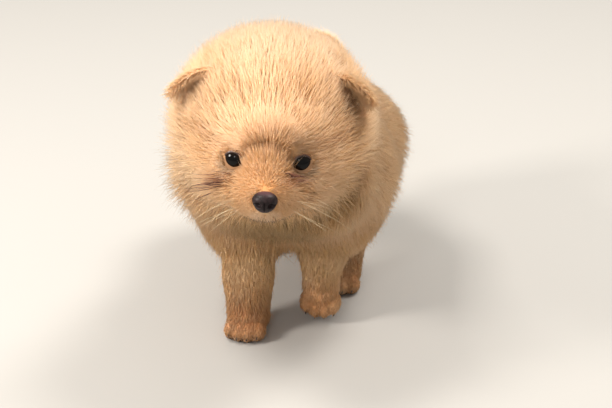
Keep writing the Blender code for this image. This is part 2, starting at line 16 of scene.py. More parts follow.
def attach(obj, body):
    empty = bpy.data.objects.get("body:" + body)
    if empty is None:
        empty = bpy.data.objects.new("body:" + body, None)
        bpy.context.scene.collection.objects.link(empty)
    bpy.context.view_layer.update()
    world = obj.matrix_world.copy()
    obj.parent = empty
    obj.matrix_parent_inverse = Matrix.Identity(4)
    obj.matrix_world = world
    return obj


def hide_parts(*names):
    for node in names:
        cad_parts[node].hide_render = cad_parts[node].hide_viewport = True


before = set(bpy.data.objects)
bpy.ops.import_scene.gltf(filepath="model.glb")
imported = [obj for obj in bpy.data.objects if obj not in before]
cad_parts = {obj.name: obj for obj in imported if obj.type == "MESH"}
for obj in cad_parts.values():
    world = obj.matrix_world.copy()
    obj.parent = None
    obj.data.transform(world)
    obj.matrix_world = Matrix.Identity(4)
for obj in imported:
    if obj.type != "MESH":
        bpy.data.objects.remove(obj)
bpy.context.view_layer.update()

SEED = 11
SHIFT = np.array((0.0051, 0.0283, 0.0))

# Camera, set from the photo: the middle of the head lies on this pixel
IMAGE = (612, 408)
HEAD_PIXEL = (271.0, 127.0)
AZIMUTH, ELEVATION = 17.5, 24.0
DISTANCE = 0.90
LENS = 110.1
SENSOR = 36.0

# Trunk, bare
CHEST = ((0.0, -0.028, 0.086), (0.029, 0.032, 0.032))
BELLY = ((-0.003, 0.006, 0.080), (0.033, 0.037, 0.027))
RUMP = ((-0.0145, 0.033, 0.076), (0.0275, 0.027, 0.027))
NECK_START = (0.001, -0.036, 0.094)
NECK_END = (0.010, -0.074, 0.120)
NECK_THICK = (0.028, 0.022)

# Head, bare, in its own frame
HEAD_PLACE = (0.0125, -0.092, 0.129)
HEAD_YAW = 16.0
HEAD_ROLL = 2.5
CRANIUM = ((0.0, 0.004, 0.001), (0.027, 0.029, 0.027))
CHEEK = ((0.0165, -0.013, -0.011), (0.0145, 0.018, 0.015))
BROW = ((0.0090, -0.0200, 0.0062), (0.0108, 0.009, 0.0085))
BRIDGE = ((0.0, -0.027, -0.0085), (0.0100, 0.0130, 0.0085))
MUZZLE = ((0.0, -0.0330, -0.0175), (0.0140, 0.0175, 0.0100))
WHISKER_PAD = ((0.0055, -0.041, -0.020), (0.0075, 0.009, 0.0065))
JAW = ((0.0, -0.030, -0.0265), (0.0092, 0.0165, 0.0052))
BLEND = 0.006
EYE_PLACE = (0.0148, -0.0252, -0.0062)
EYE_RADIUS = 0.0068
EYE_TURN = 17.0
EYE_LIFT = 0.08
NOSE_PLACE = (0.0, -0.0515, -0.0165)
NOSE_SIZE = (0.0062, 0.0046, 0.0052)
EAR_ROOT = (0.0250, 0.003, 0.0165)
EAR_TIP = (0.0490, 0.001, 0.0160)
EAR_WIDTH = 0.022
EAR_WALL = 0.0026
EAR_CUP = 0.0065
EAR_ARCH = 0.0045
EAR_ACROSS = Vector((-0.42, -0.30, 0.86)).normalized()
EAR_BACK = Vector((0.15, 0.93, 0.32)).normalized()

# Coat, out to the tips
HEAD_COAT = ((0.0, 0.0180, -0.0070), (0.0535, 0.0510, 0.0530))
RUFF = ((0.0200, 0.0230, -0.0320), (0.0380, 0.0330, 0.0350))
CHEEK_FLUFF = ((0.0165, -0.0230, -0.0200), (0.0130, 0.0150, 0.0105))
COAT_BLEND = 0.008
FACE_BLEND = 0.014
FACE_FRONT = (0.010, -0.004)
FACE_DENT = 0.0075
FACE_DENT_MIDDLE = (0.0, -0.012)
FACE_DENT_SIZE = (0.029, 0.021)
EAR_DENT = 0.005
EAR_DENT_MIDDLE = (0.043, 0.018)
EAR_DENT_SIZE = 0.014
TRUNK_COAT = 0.0240
BELLY_COAT = 0.0125
BELLY_HEIGHT = (0.080, 0.046)
BACK_TRIM = 0.010
BACK_HEIGHT = (0.080, 0.115)
BACK_START = (-0.030, 0.010)
TAIL_COAT = 0.013

# Where the skin lies: its share of the coat's depth, and how far it is below the short hair
SKIN_SHARE = 0.50
FACE_INSET = 0.0010
LIMB_INSET = 0.0034
PAW_INSET = 0.0012

LEGS = [
    ([(-0.018, -0.034, 0.074), (-0.018, -0.038, 0.056), (-0.0135, -0.054, 0.028), (-0.012, -0.059, 0.009)],
     [0.017, 0.0150, 0.0127, 0.0115]),
    ([(0.020, -0.032, 0.076), (0.024, -0.030, 0.060), (0.0235, -0.040, 0.043), (0.0225, -0.0405, 0.031)],
     [0.017, 0.0145, 0.0122, 0.0105]),
    ([(-0.028, 0.040, 0.076), (-0.034, 0.038, 0.054), (-0.035, 0.064, 0.026), (-0.0365, 0.058, 0.009)],
     [0.016, 0.0145, 0.0105, 0.0095]),
    ([(0.005, 0.036, 0.076), (0.014, 0.010, 0.054), (0.019, 0.018, 0.026), (0.020, 0.009, 0.009)],
     [0.016, 0.0155, 0.0115, 0.0100]),
]
PAWS = [
    ((-0.0108, -0.0620, 0.0), 6.0, 0.0),
    ((0.0210, -0.0335, 0.0175), 8.0, 62.0),
    ((-0.0365, 0.0540, 0.0), -4.0, 0.0),
    ((0.0205, 0.0050, 0.0), 8.0, 0.0),
]
PAW_MIDDLE = (0.0, 0.0, 0.0066)
PAW_SIZE = (0.0100, 0.0115, 0.0075)
TOE_SIZE = (0.0044, 0.0066, 0.0050)
TOE_SPLAY = 15.0
TOE_REACH = (0.0105, 0.0085)
TOE_ARM = 0.0075
TOE_HEIGHT = 0.92
TAIL_PATH = [
    (-0.013, 0.052, 0.088),
    (-0.014, 0.066, 0.088),
    (-0.015, 0.0745, 0.097),
    (-0.015, 0.071, 0.106),
    (-0.014, 0.058, 0.1105),
]
TAIL_THICK = [0.008, 0.0068, 0.0058, 0.0040, 0.0018]
TAIL_FLUFF = [0.5, 0.9, 0.9, 0.9, 0.6]

# How softly forms of one kind run into each other
TAIL_BLEND = 0.006
LEG_BLEND = 0.004
PAW_BLEND = 0.0009
BODY_BLEND = 0.003

# Forms: each is a distance in metres, below 0 inside


def smoothstep(low, high, x):
    """0 at the low value and 1 at the high one, with soft ends."""
    t = np.clip((x - low) / (high - low), 0.0, 1.0)
    return t * t * (3.0 - 2.0 * t)


def ball(points, centre, half):
    """Distance to an ellipsoid."""
    q = (points - np.array(centre)) / np.array(half)
    near = np.linalg.norm(q, axis=1) + 1e-9
    return near * (near - 1.0) / (np.linalg.norm(q / np.array(half), axis=1) + 1e-9)


def limb(points, start, end, thick):
    """Distance to a straight rod whose radius goes from one value to another."""
    a, b = np.array(start), np.array(end)
    along = np.clip((points - a) @ (b - a) / ((b - a) @ (b - a)), 0.0, 1.0)
    away = np.linalg.norm(points - a - along[:, None] * (b - a), axis=1)
    return away - (thick[0] + (thick[1] - thick[0]) * along)


def merged(distances, soft):
    """Several forms as one, with soft hollows where they meet."""
    total = distances[0]
    for other in distances[1:]:
        h = np.clip(0.5 + 0.5 * (other - total) / soft, 0.0, 1.0)
        total = other + (total - other) * h - soft * h * (1.0 - h)
    return total


def bent(points, joints, thick, soft):
    """Distance to a chain of rods through the given joints."""
    rods = [limb(points, a, b, (ra, rb)) for a, b, ra, rb in zip(joints, joints[1:], thick, thick[1:])]
    return merged(rods, soft)


def mirrored(form):
    (x, y, z), half = form
    return (-x, y, z), half


def into(turn, points):
    """World places in a frame's own axes."""
    return (points - turn[:3, 3]) @ turn[:3, :3]


def out_of(turn, points):
    """Places in a frame's own axes, in the world."""
    return points @ turn[:3, :3].T + turn[:3, 3]


def unit(ways):
    """Rows of numbers, each made one long."""
    return ways / (np.linalg.norm(ways, axis=1)[:, None] + 1e-12)


HEAD_FRAME = (
    Matrix.Translation(Vector(HEAD_PLACE) + Vector(SHIFT))
    @ Matrix.Rotation(math.radians(HEAD_YAW), 4, "Z")
    @ Matrix.Rotation(math.radians(HEAD_ROLL), 4, "Y")
)
HEAD_TURN = np.array(HEAD_FRAME)[:3, :3]
HEAD_SPOT = np.array(HEAD_FRAME)[:3, 3]


def into_head(points):
    """World places in the head's own axes."""
    return into(np.array(HEAD_FRAME), points)


def out_of_head(point):
    """A place in the head's own axes, in the world."""
    return HEAD_TURN @ np.array(point) + HEAD_SPOT


def one_side(q):
    """Both sides of the head folded onto its left."""
    return np.column_stack((np.abs(q[:, 0]), q[:, 1], q[:, 2]))


def head_coat(q):
    """The head's outline out to the tips of its hair: crown, ruff and cheeks, hollowed at face and ears."""
    across = (q[:, 0] - FACE_DENT_MIDDLE[0]) / FACE_DENT_SIZE[0]
    upward = (q[:, 2] - FACE_DENT_MIDDLE[1]) / FACE_DENT_SIZE[1]
    dent = FACE_DENT * np.exp(-(across**2 + upward**2))
    ear_side = (np.abs(q[:, 0]) - EAR_DENT_MIDDLE[0]) / EAR_DENT_SIZE
    ear_up = (q[:, 2] - EAR_DENT_MIDDLE[1]) / EAR_DENT_SIZE
    dent += EAR_DENT * np.exp(-(ear_side**2 + ear_up**2))
    crown = ball(q, *HEAD_COAT) + dent * smoothstep(*FACE_FRONT, q[:, 1])
    half = one_side(q)
    return merged([crown, ball(half, *RUFF), ball(half, *CHEEK_FLUFF)], COAT_BLEND)


def head_form(points, share):
    """The head between its bare form, at share 0, and the tips of its coat, at share 1."""
    q = into_head(points)
    forms = [CRANIUM, CHEEK, mirrored(CHEEK), BROW, mirrored(BROW)]
    forms += [BRIDGE, MUZZLE, WHISKER_PAD, mirrored(WHISKER_PAD), JAW]
    bare = merged([ball(q, *form) for form in forms], BLEND)
    return bare + share * (merged([bare, head_coat(q)], FACE_BLEND) - bare) + FACE_INSET * (1.0 - share)


def trunk_form(points, share):
    p = points - SHIFT
    forms = [ball(p, *form) for form in (CHEST, BELLY, RUMP)]
    forms.append(limb(p, NECK_START, NECK_END, NECK_THICK))
    for joints, thick in LEGS:
        forms.append(limb(p, joints[0], joints[1], (thick[0], thick[1])))
    low = smoothstep(*BELLY_HEIGHT, p[:, 2])
    back = smoothstep(*BACK_HEIGHT, p[:, 2]) * smoothstep(*BACK_START, p[:, 1])
    depth = TRUNK_COAT + (BELLY_COAT - TRUNK_COAT) * low - BACK_TRIM * back
    return merged(forms, 2.0 * BLEND) - share * depth


def tail_thick(share):
    return [t + share * TAIL_COAT * fluff for t, fluff in zip(TAIL_THICK, TAIL_FLUFF)]


def tail_form(points, share):
    return bent(points - SHIFT, TAIL_PATH, tail_thick(share), TAIL_BLEND)


def leg_form(points, number, share):
    return bent(points - SHIFT, *LEGS[number], LEG_BLEND) + LIMB_INSET * (1.0 - share)


def paw_frame(number):
    place, heading, pitch = PAWS[number]
    turn = Matrix.Rotation(math.radians(heading), 4, "Z") @ Matrix.Rotation(math.radians(pitch), 4, "X")
    return Matrix.Translation(Vector(place) + Vector(SHIFT)) @ turn


def toe_spots():
    """The middles of a paw's four toes, the two inner ones further forward."""
    spots = []
    for k in (-1.5, -0.5, 0.5, 1.5):
        way = math.radians(k * TOE_SPLAY)
        out = TOE_REACH[0] if abs(k) < 1.0 else TOE_REACH[1]
        spots.append((math.sin(way) * (PAW_SIZE[0] + TOE_ARM), -out, TOE_SIZE[2] * TOE_HEIGHT))
    return spots


def paw_form(points, number, share):
    q = into(np.array(paw_frame(number)), points)
    parts = [ball(q, PAW_MIDDLE, PAW_SIZE)] + [ball(q, spot, TOE_SIZE) for spot in toe_spots()]
    return np.maximum(merged(parts, PAW_BLEND), -q[:, 2]) + PAW_INSET * (1.0 - share)


def all_forms(points, share):
    """Every form's distance, one row each: head, trunk, tail, four legs, four paws."""
    rows = [head_form(points, share), trunk_form(points, share), tail_form(points, share)]
    rows += [leg_form(points, k, share) for k in range(4)]
    rows += [paw_form(points, k, share) for k in range(4)]
    return np.array(rows)


def dog(points, share):
    return merged(list(all_forms(points, share)), BODY_BLEND)


def slope(form, points, step=0.0004):
    """The way in which a form's distance grows fastest."""
    return unit(np.array([form(points + axis * step) - form(points - axis * step) for axis in np.eye(3)]).T)


# Lie of the coat. Pairs are where a change of lie begins and where it is complete.
HAIR_START = (0.0, -0.046, -0.014)
CHIN_BELOW = (-0.006, -0.040)
CHIN_BEHIND = (-0.055, -0.010)
CHIN_FALL = (0.0, 0.1, -0.75)
EYE_NEAR = (0.017, 0.008)
EYE_ABOVE = (0.000, 0.006)
ROUND_EYE = 0.9
OVER_EYE = 1.3
BROW_LIE = (1.0, 0.1, 0.15)
CHEST_FRONT = (-0.035, -0.060)
BACK_TOP = (0.105, 0.130)
SIDE_LIE = (0.0, 0.62, -0.78)
BACK_LIE = (0.0, 1.0, -0.10)
CHEST_LIE = (0.0, -0.10, -1.0)
SIDE_SPREAD = 6.0
SIDE_FAN = 0.35
TAIL_FAN = 0.6
WRIST_ABOVE = 0.004
LEG_BACK = (0.0, 0.15, 0.0)
TOE_LIE = (0.0, -0.9, -0.45)


def sideways(amount):
    """A way straight to the side for each point."""
    return np.column_stack((amount, np.zeros(len(amount)), np.zeros(len(amount))))


def head_lie(points):
    """Hair runs away from the nose, over the forehead, cheeks and chin, and out round the eyes."""
    q = into_head(points)
    ways = unit(q - np.array(HAIR_START))
    down = smoothstep(*CHIN_BELOW, q[:, 2]) * smoothstep(*CHIN_BEHIND, q[:, 1])
    ways += down[:, None] * np.array(CHIN_FALL)
    ones = np.ones(len(q))
    turned = np.column_stack((np.sign(q[:, 0]), ones, ones))
    from_eye = one_side(q) - np.array(EYE_PLACE)
    near = smoothstep(*EYE_NEAR, np.linalg.norm(from_eye, axis=1))
    above = smoothstep(*EYE_ABOVE, from_eye[:, 2])
    below_it = (near * (1.0 - above) * ROUND_EYE)[:, None] * (unit(from_eye) * turned)
    over_it = (near * above * OVER_EYE)[:, None] * (np.array(BROW_LIE) * turned)
    return unit(ways + (below_it + over_it)) @ HEAD_TURN.T


def trunk_lie(points):
    """Back and down on the sides, back on top, straight down on the chest."""
    p = points - SHIFT
    chest = smoothstep(*CHEST_FRONT, p[:, 1])[:, None]
    back = smoothstep(*BACK_TOP, p[:, 2])[:, None]
    outward = sideways(p[:, 0] * SIDE_SPREAD)
    side = np.array(SIDE_LIE) * (1.0 - back) + np.array(BACK_LIE) * back
    return side * (1.0 - chest) + (np.array(CHEST_LIE) + outward) * chest + SIDE_FAN * outward


def tail_lie(points):
    """On towards the tail's tip, fanned out to both sides."""
    p = points - SHIFT
    return unit(np.array(TAIL_PATH[-1]) - p) + TAIL_FAN * sideways(np.sign(p[:, 0]))


def leg_lie(points, number):
    """Down along the leg's two lower bones, and a little back."""
    joints = np.array(LEGS[number][0])
    lower = (points[:, 2] < joints[2][2] + WRIST_ABOVE)[:, None]
    ways = np.where(lower, unit(joints[None, 3] - joints[2]), unit(joints[None, 2] - joints[1]))
    return ways + np.array(LEG_BACK)


def paw_lie(points, number):
    turn = np.array(paw_frame(number))[:3, :3]
    return np.tile(turn @ np.array(TOE_LIE), (len(points), 1))


def lie_of(points, label):
    """The coat's lie at each place, by the form that the place lies on."""
    ways = head_lie(points)
    makers = {1: trunk_lie, 2: tail_lie}
    for number in range(4):
        makers[3 + number] = lambda p, k=number: leg_lie(p, k)
        makers[7 + number] = lambda p, k=number: paw_lie(p, k)
    for value, maker in makers.items():
        chosen = label == value
        if chosen.any():
            ways[chosen] = maker(points[chosen])
    return unit(ways)


# Materials


class Wire:
    """A shader socket; sums written with it add their nodes to its tree."""

    def __init__(self, socket):
        self.socket = socket
        self.tree = socket.id_data

    def node(self, kind, settings, values):
        """A node of this kind, with its settings first and then the values or links of its sockets."""
        made = self.tree.nodes.new(kind)
        for key, value in settings.items():
            setattr(made, key, value)
        for key, value in values.items():
            if isinstance(value, Wire):
                self.tree.links.new(value.socket, made.inputs[key])
            else:
                made.inputs[key].default_value = value
        return made

    def sum(self, operation, first, second):
        """A Math node on two values or sockets."""
        return Wire(self.node("ShaderNodeMath", {"operation": operation}, {0: first, 1: second}).outputs[0])

    def __add__(self, other):
        return self.sum("ADD", self, other)

    def __radd__(self, other):
        return self.sum("ADD", other, self)

    def __sub__(self, other):
        return self.sum("SUBTRACT", self, other)

    def __rsub__(self, other):
        return self.sum("SUBTRACT", other, self)

    def __mul__(self, other):
        return self.sum("MULTIPLY", self, other)

    def __rmul__(self, other):
        return self.sum("MULTIPLY", other, self)

    def vector(self, operation, values, output="Vector"):
        """A Vector Math node on this socket and the given values."""
        made = self.node("ShaderNodeVectorMath", {"operation": operation}, {0: self, **values})
        return Wire(made.outputs[output])

    def away(self, centre, size):
        """Distance from a point, counted in half sizes of an ellipsoid round it."""
        return self.vector("SUBTRACT", {1: centre}).vector("DIVIDE", {1: size}).vector("LENGTH", {}, "Value")

    def patch(self, centre, size, strength, core):
        """A spot of this strength that fades out from the core share of its size to its edge."""
        return strength * (1.0 - self.away(centre, size).rise(core, 1.0))

    def rise(self, low, high):
        """0 at the low value and 1 at the high one, with soft ends."""
        settings = {"interpolation_type": "SMOOTHSTEP"}
        return Wire(self.node("ShaderNodeMapRange", settings, {0: self, 1: low, 2: high}).outputs[0])

    def noise(self, scale, detail=2.0):
        values = {"Vector": self, "Scale": scale, "Detail": detail}
        return Wire(self.node("ShaderNodeTexNoise", {}, values).outputs["Fac"])

    def mix(self, first, second):
        """The first colour where this is 0 and the second where it is 1."""
        ends = [end if isinstance(end, Wire) else (*end, 1.0) for end in (first, second)]
        made = self.node("ShaderNodeMix", {"data_type": "RGBA"}, {0: self, 6: ends[0], 7: ends[1]})
        return Wire(made.outputs[2])

    def bump(self, strength, depth):
        values = {"Height": self, "Strength": strength, "Distance": depth}
        return Wire(self.node("ShaderNodeBump", {}, values).outputs[0])

    def into(self, socket):
        self.tree.links.new(self.socket, socket)


def spot_on(tree):
    """The place on the piece, in metres."""
    return Wire(tree.nodes.new("ShaderNodeTexCoord").outputs["Object"])


def new_material(name, roughness, **fixed):
    """A material with these plain values on its shader's own sockets."""
    made = bpy.data.materials.new(name)
    made.use_nodes = True
    shader = made.node_tree.nodes["Principled BSDF"]
    shader.inputs["Roughness"].default_value = roughness
    for key, value in fixed.items():
        shader.inputs[key.replace("_", " ")].default_value = value
    return made, made.node_tree, shader


def to_world(*point):
    """A place of the model as its source gives it, in the shared frame."""
    return tuple(float(v) for v in np.array(point) + SHIFT)


def to_face(*point):
    """A place in the head's own axes, in the shared frame."""
    return tuple(float(v) for v in out_of_head(point))


CREAM = (0.93, 0.59, 0.325)
APRICOT = (0.82, 0.45, 0.205)
TAN = (0.68, 0.31, 0.105)
PALE = (0.95, 0.66, 0.41)
GOLD = (0.72, 0.43, 0.155)
SHADE = (0.26, 0.150, 0.042)
RUST = (0.40, 0.128, 0.033)
DARK_RUST = (0.32, 0.078, 0.026)
DARK_BROWN = (0.090, 0.032, 0.015)
EAR_CUP_SHADE = (0.26, 0.095, 0.030)
ROOT_SHADE_TINT = (0.60, 0.29, 0.10)
TONE_TINT = (0.50, 0.25, 0.085)
SKIN_DARK = (0.30, 0.130, 0.050)

# Markings, and painted light and shade: middle, half sizes, colour, strength, and the share of its size where
# each begins to fade
MARKINGS_AND_PAINTED_LIGHT = [
    # Painted rim light: the crown and the top of the back paler where the light from above and behind falls.
    (to_world(0.0, 0.01, 0.155), (0.07, 0.13, 0.050), PALE, 0.60, 0.45),
    (to_face(0.0, 0.010, 0.058), (0.060, 0.060, 0.045), PALE, 0.85, 0.45),
    # Painted light: the left cheek paler, on the side that the key light falls on.
    (to_face(-0.050, 0.000, -0.020), (0.030, 0.050, 0.040), PALE, 0.70, 0.45),
    (to_face(0.0, -0.040, -0.062), (0.055, 0.065, 0.040), GOLD, 0.80, 0.45),
    (to_world(0.0, -0.045, 0.050), (0.06, 0.045, 0.030), GOLD, 0.35, 0.45),
    # Painted shade: darker under the chin and muzzle on the chest, and on the right lower cheek and ruff.
    (to_face(0.002, 0.004, -0.053), (0.040, 0.036, 0.025), SHADE, 0.70, 0.50),
    (to_face(0.036, 0.000, -0.040), (0.022, 0.034, 0.020), SHADE, 0.50, 0.30),
    (to_face(0.0, -0.036, -0.0165), (0.027, 0.024, 0.0135), TAN, 0.60, 0.45),
    (to_face(0.0, -0.034, -0.004), (0.017, 0.022, 0.019), TAN, 0.80, 0.40),
    (to_face(0.0, -0.046, -0.011), (0.013, 0.014, 0.0085), TAN, 0.75, 0.45),
    (to_face(0.0, -0.031, 0.004), (0.022, 0.020, 0.011), APRICOT, 0.65, 0.30),
    (to_face(0.0, -0.050, -0.0232), (0.0080, 0.010, 0.0045), PALE, 0.80, 0.45),
    # The line of the lips and its corners: partly their own dark colour and partly painted shadow under the
    # muzzle's edge.
    (to_face(0.0, -0.042, -0.0284), (0.0190, 0.018, 0.0029), DARK_BROWN, 0.90, 0.55),
    (to_face(0.0165, -0.030, -0.0268), (0.0095, 0.014, 0.0017), DARK_BROWN, 0.60, 0.45),
    (to_face(-0.0165, -0.030, -0.0268), (0.0095, 0.014, 0.0017), DARK_BROWN, 0.60, 0.45),
    (to_face(0.0070, -0.035, -0.0125), (0.0100, 0.012, 0.0042), DARK_RUST, 0.95, 0.45),
    (to_face(-0.0160, -0.029, -0.0136), (0.0110, 0.013, 0.0048), RUST, 0.75, 0.45),
    # Painted shadow in the creases under the brow fluff, running out from the eyes.
    (to_face(0.029, -0.020, 0.0005), (0.015, 0.014, 0.0034), RUST, 0.50, 0.40),
    (to_face(-0.029, -0.020, 0.0005), (0.015, 0.014, 0.0034), RUST, 0.40, 0.40),
    (to_face(0.0162, -0.031, -0.0060), (0.0062, 0.008, 0.0060), DARK_BROWN, 0.70, 0.62),
    (to_face(-0.0162, -0.031, -0.0060), (0.0060, 0.008, 0.0058), DARK_BROWN, 0.60, 0.62),
    (to_face(0.044, 0.0, 0.020), (0.020, 0.022, 0.019), APRICOT, 0.70, 0.45),
    # Painted light: the left ear paler, on the lit side.
    (to_face(-0.044, 0.0, 0.020), (0.020, 0.022, 0.019), CREAM, 0.50, 0.45),
    # Painted shade inside the cups of the ears, which face forward and down; weaker on the lit left ear.
    (to_face(0.038, -0.008, 0.0120), (0.0125, 0.010, 0.0075), EAR_CUP_SHADE, 0.80, 0.45),
    (to_face(-0.034, -0.008, 0.0125), (0.0080, 0.009, 0.0055), EAR_CUP_SHADE, 0.25, 0.45),
    (to_world(-0.011, -0.062, 0.002), (0.026, 0.030, 0.030), RUST, 0.70, 0.45),
    (to_world(0.019, -0.034, 0.010), (0.022, 0.024, 0.026), RUST, 0.60, 0.45),
    (to_world(-0.027, 0.060, 0.002), (0.024, 0.030, 0.028), RUST, 0.55, 0.45),
    (to_world(0.034, 0.010, 0.002), (0.024, 0.030, 0.028), RUST, 0.55, 0.45),
]


def markings_and_painted_light(place):
    """The coat's colour at a place, with its painted light and shade; the skin and every tuft take it from
    here.
    """
    colour = place.noise(55.0, 3.0).rise(0.35, 0.68).mix(CREAM, APRICOT)
    for centre, size, tint, strength, core in MARKINGS_AND_PAINTED_LIGHT:
        colour = place.patch(centre, size, strength, core).mix(colour, tint)
    return colour


def skin_material():
    """The coat's colours, painted light and shade among them, over darker skin, with a fine grain."""
    made, tree, shader = new_material("skin", 0.75)
    place = spot_on(tree)
    grain = 0.72 + 0.20 * place.noise(900.0).rise(0.3, 0.7)
    grain.mix(SKIN_DARK, markings_and_painted_light(place)).into(shader.inputs["Base Color"])
    place.noise(1600.0).bump(0.4, 0.0004).into(shader.inputs["Normal"])
    return made


def coat_material():
    """Hair: its root's colour, darker at the root with painted shade and paler at the tip, each tuft with its
    own tone.
    """
    scatter = {"Subsurface_Weight": 0.25, "Subsurface_Radius": (1.0, 0.6, 0.35), "Subsurface_Scale": 0.0012}
    made, tree, shader = new_material("coat", 0.75, Specular_IOR_Level=0.2, **scatter)
    wires = {}
    for name in ("root", "along", "tone"):
        node = tree.nodes.new("ShaderNodeAttribute")
        node.attribute_name = name
        wires[name] = Wire(node.outputs["Vector" if name == "root" else "Fac"])
    colour = (0.22 * wires["along"].rise(0.45, 1.0)).mix(markings_and_painted_light(wires["root"]), PALE)
    # Painted shade: each tuft darker towards its root, deep in the coat.
    colour = (0.20 * (1.0 - wires["along"].rise(0.0, 0.6))).mix(colour, ROOT_SHADE_TINT)
    (0.30 * wires["tone"]).mix(colour, TONE_TINT).into(shader.inputs["Base Color"])
    return made


# Skin. Lengths are in metres; pairs are where a change begins and where it is complete.
VOXEL = 0.0012
SKULL = ((0.0, 0.011, -0.0025), (0.040, 0.038, 0.040))
CHAIN_STEP = 0.003
LEG_SPARE = 0.002
EAR_ROWS = 16
EAR_COLUMNS = 14
EAR_TAPER = 0.30
EAR_TIP_HALF = 0.0022
EAR_FLATTER = 0.75
EAR_KEPT = 0.024
EAR_OFF = 0.0012
FLOOR_GAP = 0.0004
SETTLE_MOST = 0.003
SETTLE_SHARE = 0.85
MUZZLE_TIP = (0.0, -0.040, -0.018)
MUZZLE_REACH = 0.021
MAP_SHARE = 0.06

# The line between the lips: its height under the nose, how it rises to the corners, and its depth
LIP_HEIGHT = -0.0290
LIP_LIFT = 0.0008
LIP_LIFT_AT = (0.0, 0.006)
CORNER_LIFT = 0.0020
CORNER_AT = (0.008, 0.022)
MOUTH_FRONT = (-0.022, -0.030)
MOUTH_END = (0.024, 0.017)
LIP_WIDTH = 0.0009
CLEFT_WIDTH = 0.0007
CLEFT_FRONT = (-0.046, -0.050)
CLEFT_TOP = -0.018
CLEFT_SHARE = 0.8
MOUTH_DEPTH = 0.0010


def finish_mesh(name, thing, look):
    """Names a piece, and makes it smooth and of one material."""
    thing.name = name
    thing.data.name = name
    thing.data.materials.clear()
    thing.data.materials.append(look)
    for face in thing.data.polygons:
        face.use_smooth = True
    return thing


def link(name, data):
    """A new object in the scene."""
    made = bpy.data.objects.new(name, data)
    bpy.context.scene.collection.objects.link(made)
    return made


def sphere(matrix, segments=24, rings=16):
    """A ball that the matrix has moved and stretched."""
    bpy.ops.mesh.primitive_uv_sphere_add(segments=segments, ring_count=rings, radius=1.0)
    made = bpy.context.object
    made.data.transform(matrix)
    return made


def join(things):
    """Several objects as one."""
    bpy.ops.object.select_all(action="DESELECT")
    for thing in things:
        thing.select_set(True)
    bpy.context.view_layer.objects.active = things[0]
    bpy.ops.object.join()
    return bpy.context.object


def apply_all(thing):
    """Works all of an object's modifiers into its mesh."""
    bpy.context.view_layer.objects.active = thing
    for step in list(thing.modifiers):
        bpy.ops.object.modifier_apply(modifier=step.name)


def placed(centre, half):
    """The matrix that makes a unit ball an ellipsoid at this place."""
    return Matrix.Translation(centre) @ Matrix.Diagonal((*half, 1.0))


def chain(joints, thick):
    """Spheres close together along a bent limb."""
    made = []
    for a, b, ra, rb in zip(joints, joints[1:], thick, thick[1:]):
        a, b = Vector(a) + Vector(SHIFT), Vector(b) + Vector(SHIFT)
        steps = max(2, int((b - a).length / CHAIN_STEP))
        for k in range(steps + 1):
            t = k / steps
            made.append(sphere(placed(a.lerp(b, t), [ra + (rb - ra) * t] * 3), 16, 10))
    return made


def ear_mesh(side):
    """A short ear folded round an open cup."""
    root, tip = Vector(EAR_ROOT), Vector(EAR_TIP)
    rows, across = EAR_ROWS, EAR_COLUMNS
    outer, inner = [], []
    for row in range(rows):
        t = row / (rows - 1)
        round_end = math.sqrt(max(0.0, 1.0 - (1.1 * t - 0.1) ** 4))
        half = max(EAR_WIDTH / 2 * round_end * (1.0 - EAR_TAPER * t), EAR_TIP_HALF)
        spine = root.lerp(tip, t) + Vector((0.0, 0.0, EAR_ARCH * math.sin(math.pi * t)))
        for col in range(across + 1):
            u = -1.0 + 2.0 * col / across
            cup = EAR_BACK * EAR_CUP * (1.0 - EAR_FLATTER * t) * (1.0 - u * u)
            spot = spine + EAR_ACROSS * (u * half) + cup
            outer.append(spot)
            inner.append(spot - EAR_BACK * EAR_WALL)
    points = [Vector((side * p.x, p.y, p.z)) for p in outer + inner]
    count, wide = len(outer), across + 1
    faces = []
    for row in range(rows - 1):
        for col in range(across):
            a = row * wide + col
            faces.append((a, a + 1, a + 1 + wide, a + wide))
            faces.append((count + a, count + a + wide, count + a + 1 + wide, count + a + 1))
    edge = list(range(wide)) + [row * wide + across for row in range(1, rows)]
    edge += [(rows - 1) * wide + col for col in range(across - 1, -1, -1)]
    edge += [row * wide for row in range(rows - 2, 0, -1)]
    for a, b in zip(edge, edge[1:] + edge[:1]):
        faces.append((a, count + a, count + b, b))
    mesh = bpy.data.meshes.new("ear")
    mesh.from_pydata([HEAD_FRAME @ p for p in points], [], faces)
    return link("ear", mesh)


def near_ear(points, reach):
    """Whether each place is this near to the middle line of an ear."""
    return limb(one_side(into_head(points)), EAR_ROOT, EAR_TIP, (reach, reach)) < 0.0


def eye_frame(side):
    """An eye's place, with its Z axis along the gaze."""
    x, y, z = EYE_PLACE
    out = math.radians(EYE_TURN)
    gaze = Vector((side * math.sin(out), -math.cos(out), EYE_LIFT)).normalized()
    turn = gaze.to_track_quat("Z", "Y").to_matrix().to_4x4()
    return HEAD_FRAME @ Matrix.Translation((side * x, y, z)) @ turn


def mouth_depth(points):
    """How far the line between the lips is pressed in, and 0 away from it."""
    q = into_head(points)
    x, y, z = np.abs(q[:, 0]), q[:, 1], q[:, 2]
    line = LIP_HEIGHT + LIP_LIFT * smoothstep(*LIP_LIFT_AT, x) + CORNER_LIFT * smoothstep(*CORNER_AT, x)
    front = smoothstep(*MOUTH_FRONT, y) * smoothstep(*MOUTH_END, x)
    lips = np.exp(-(((z - line) / LIP_WIDTH) ** 2)) * front
    cleft = np.exp(-((x / CLEFT_WIDTH) ** 2)) * smoothstep(*CLEFT_FRONT, y) * (z > line) * (z < CLEFT_TOP)
    return MOUTH_DEPTH * np.maximum(lips, CLEFT_SHARE * cleft)


def skin_field(points):
    """The form that the skin is moved onto."""
    return dog(points, SKIN_SHARE) + mouth_depth(points)


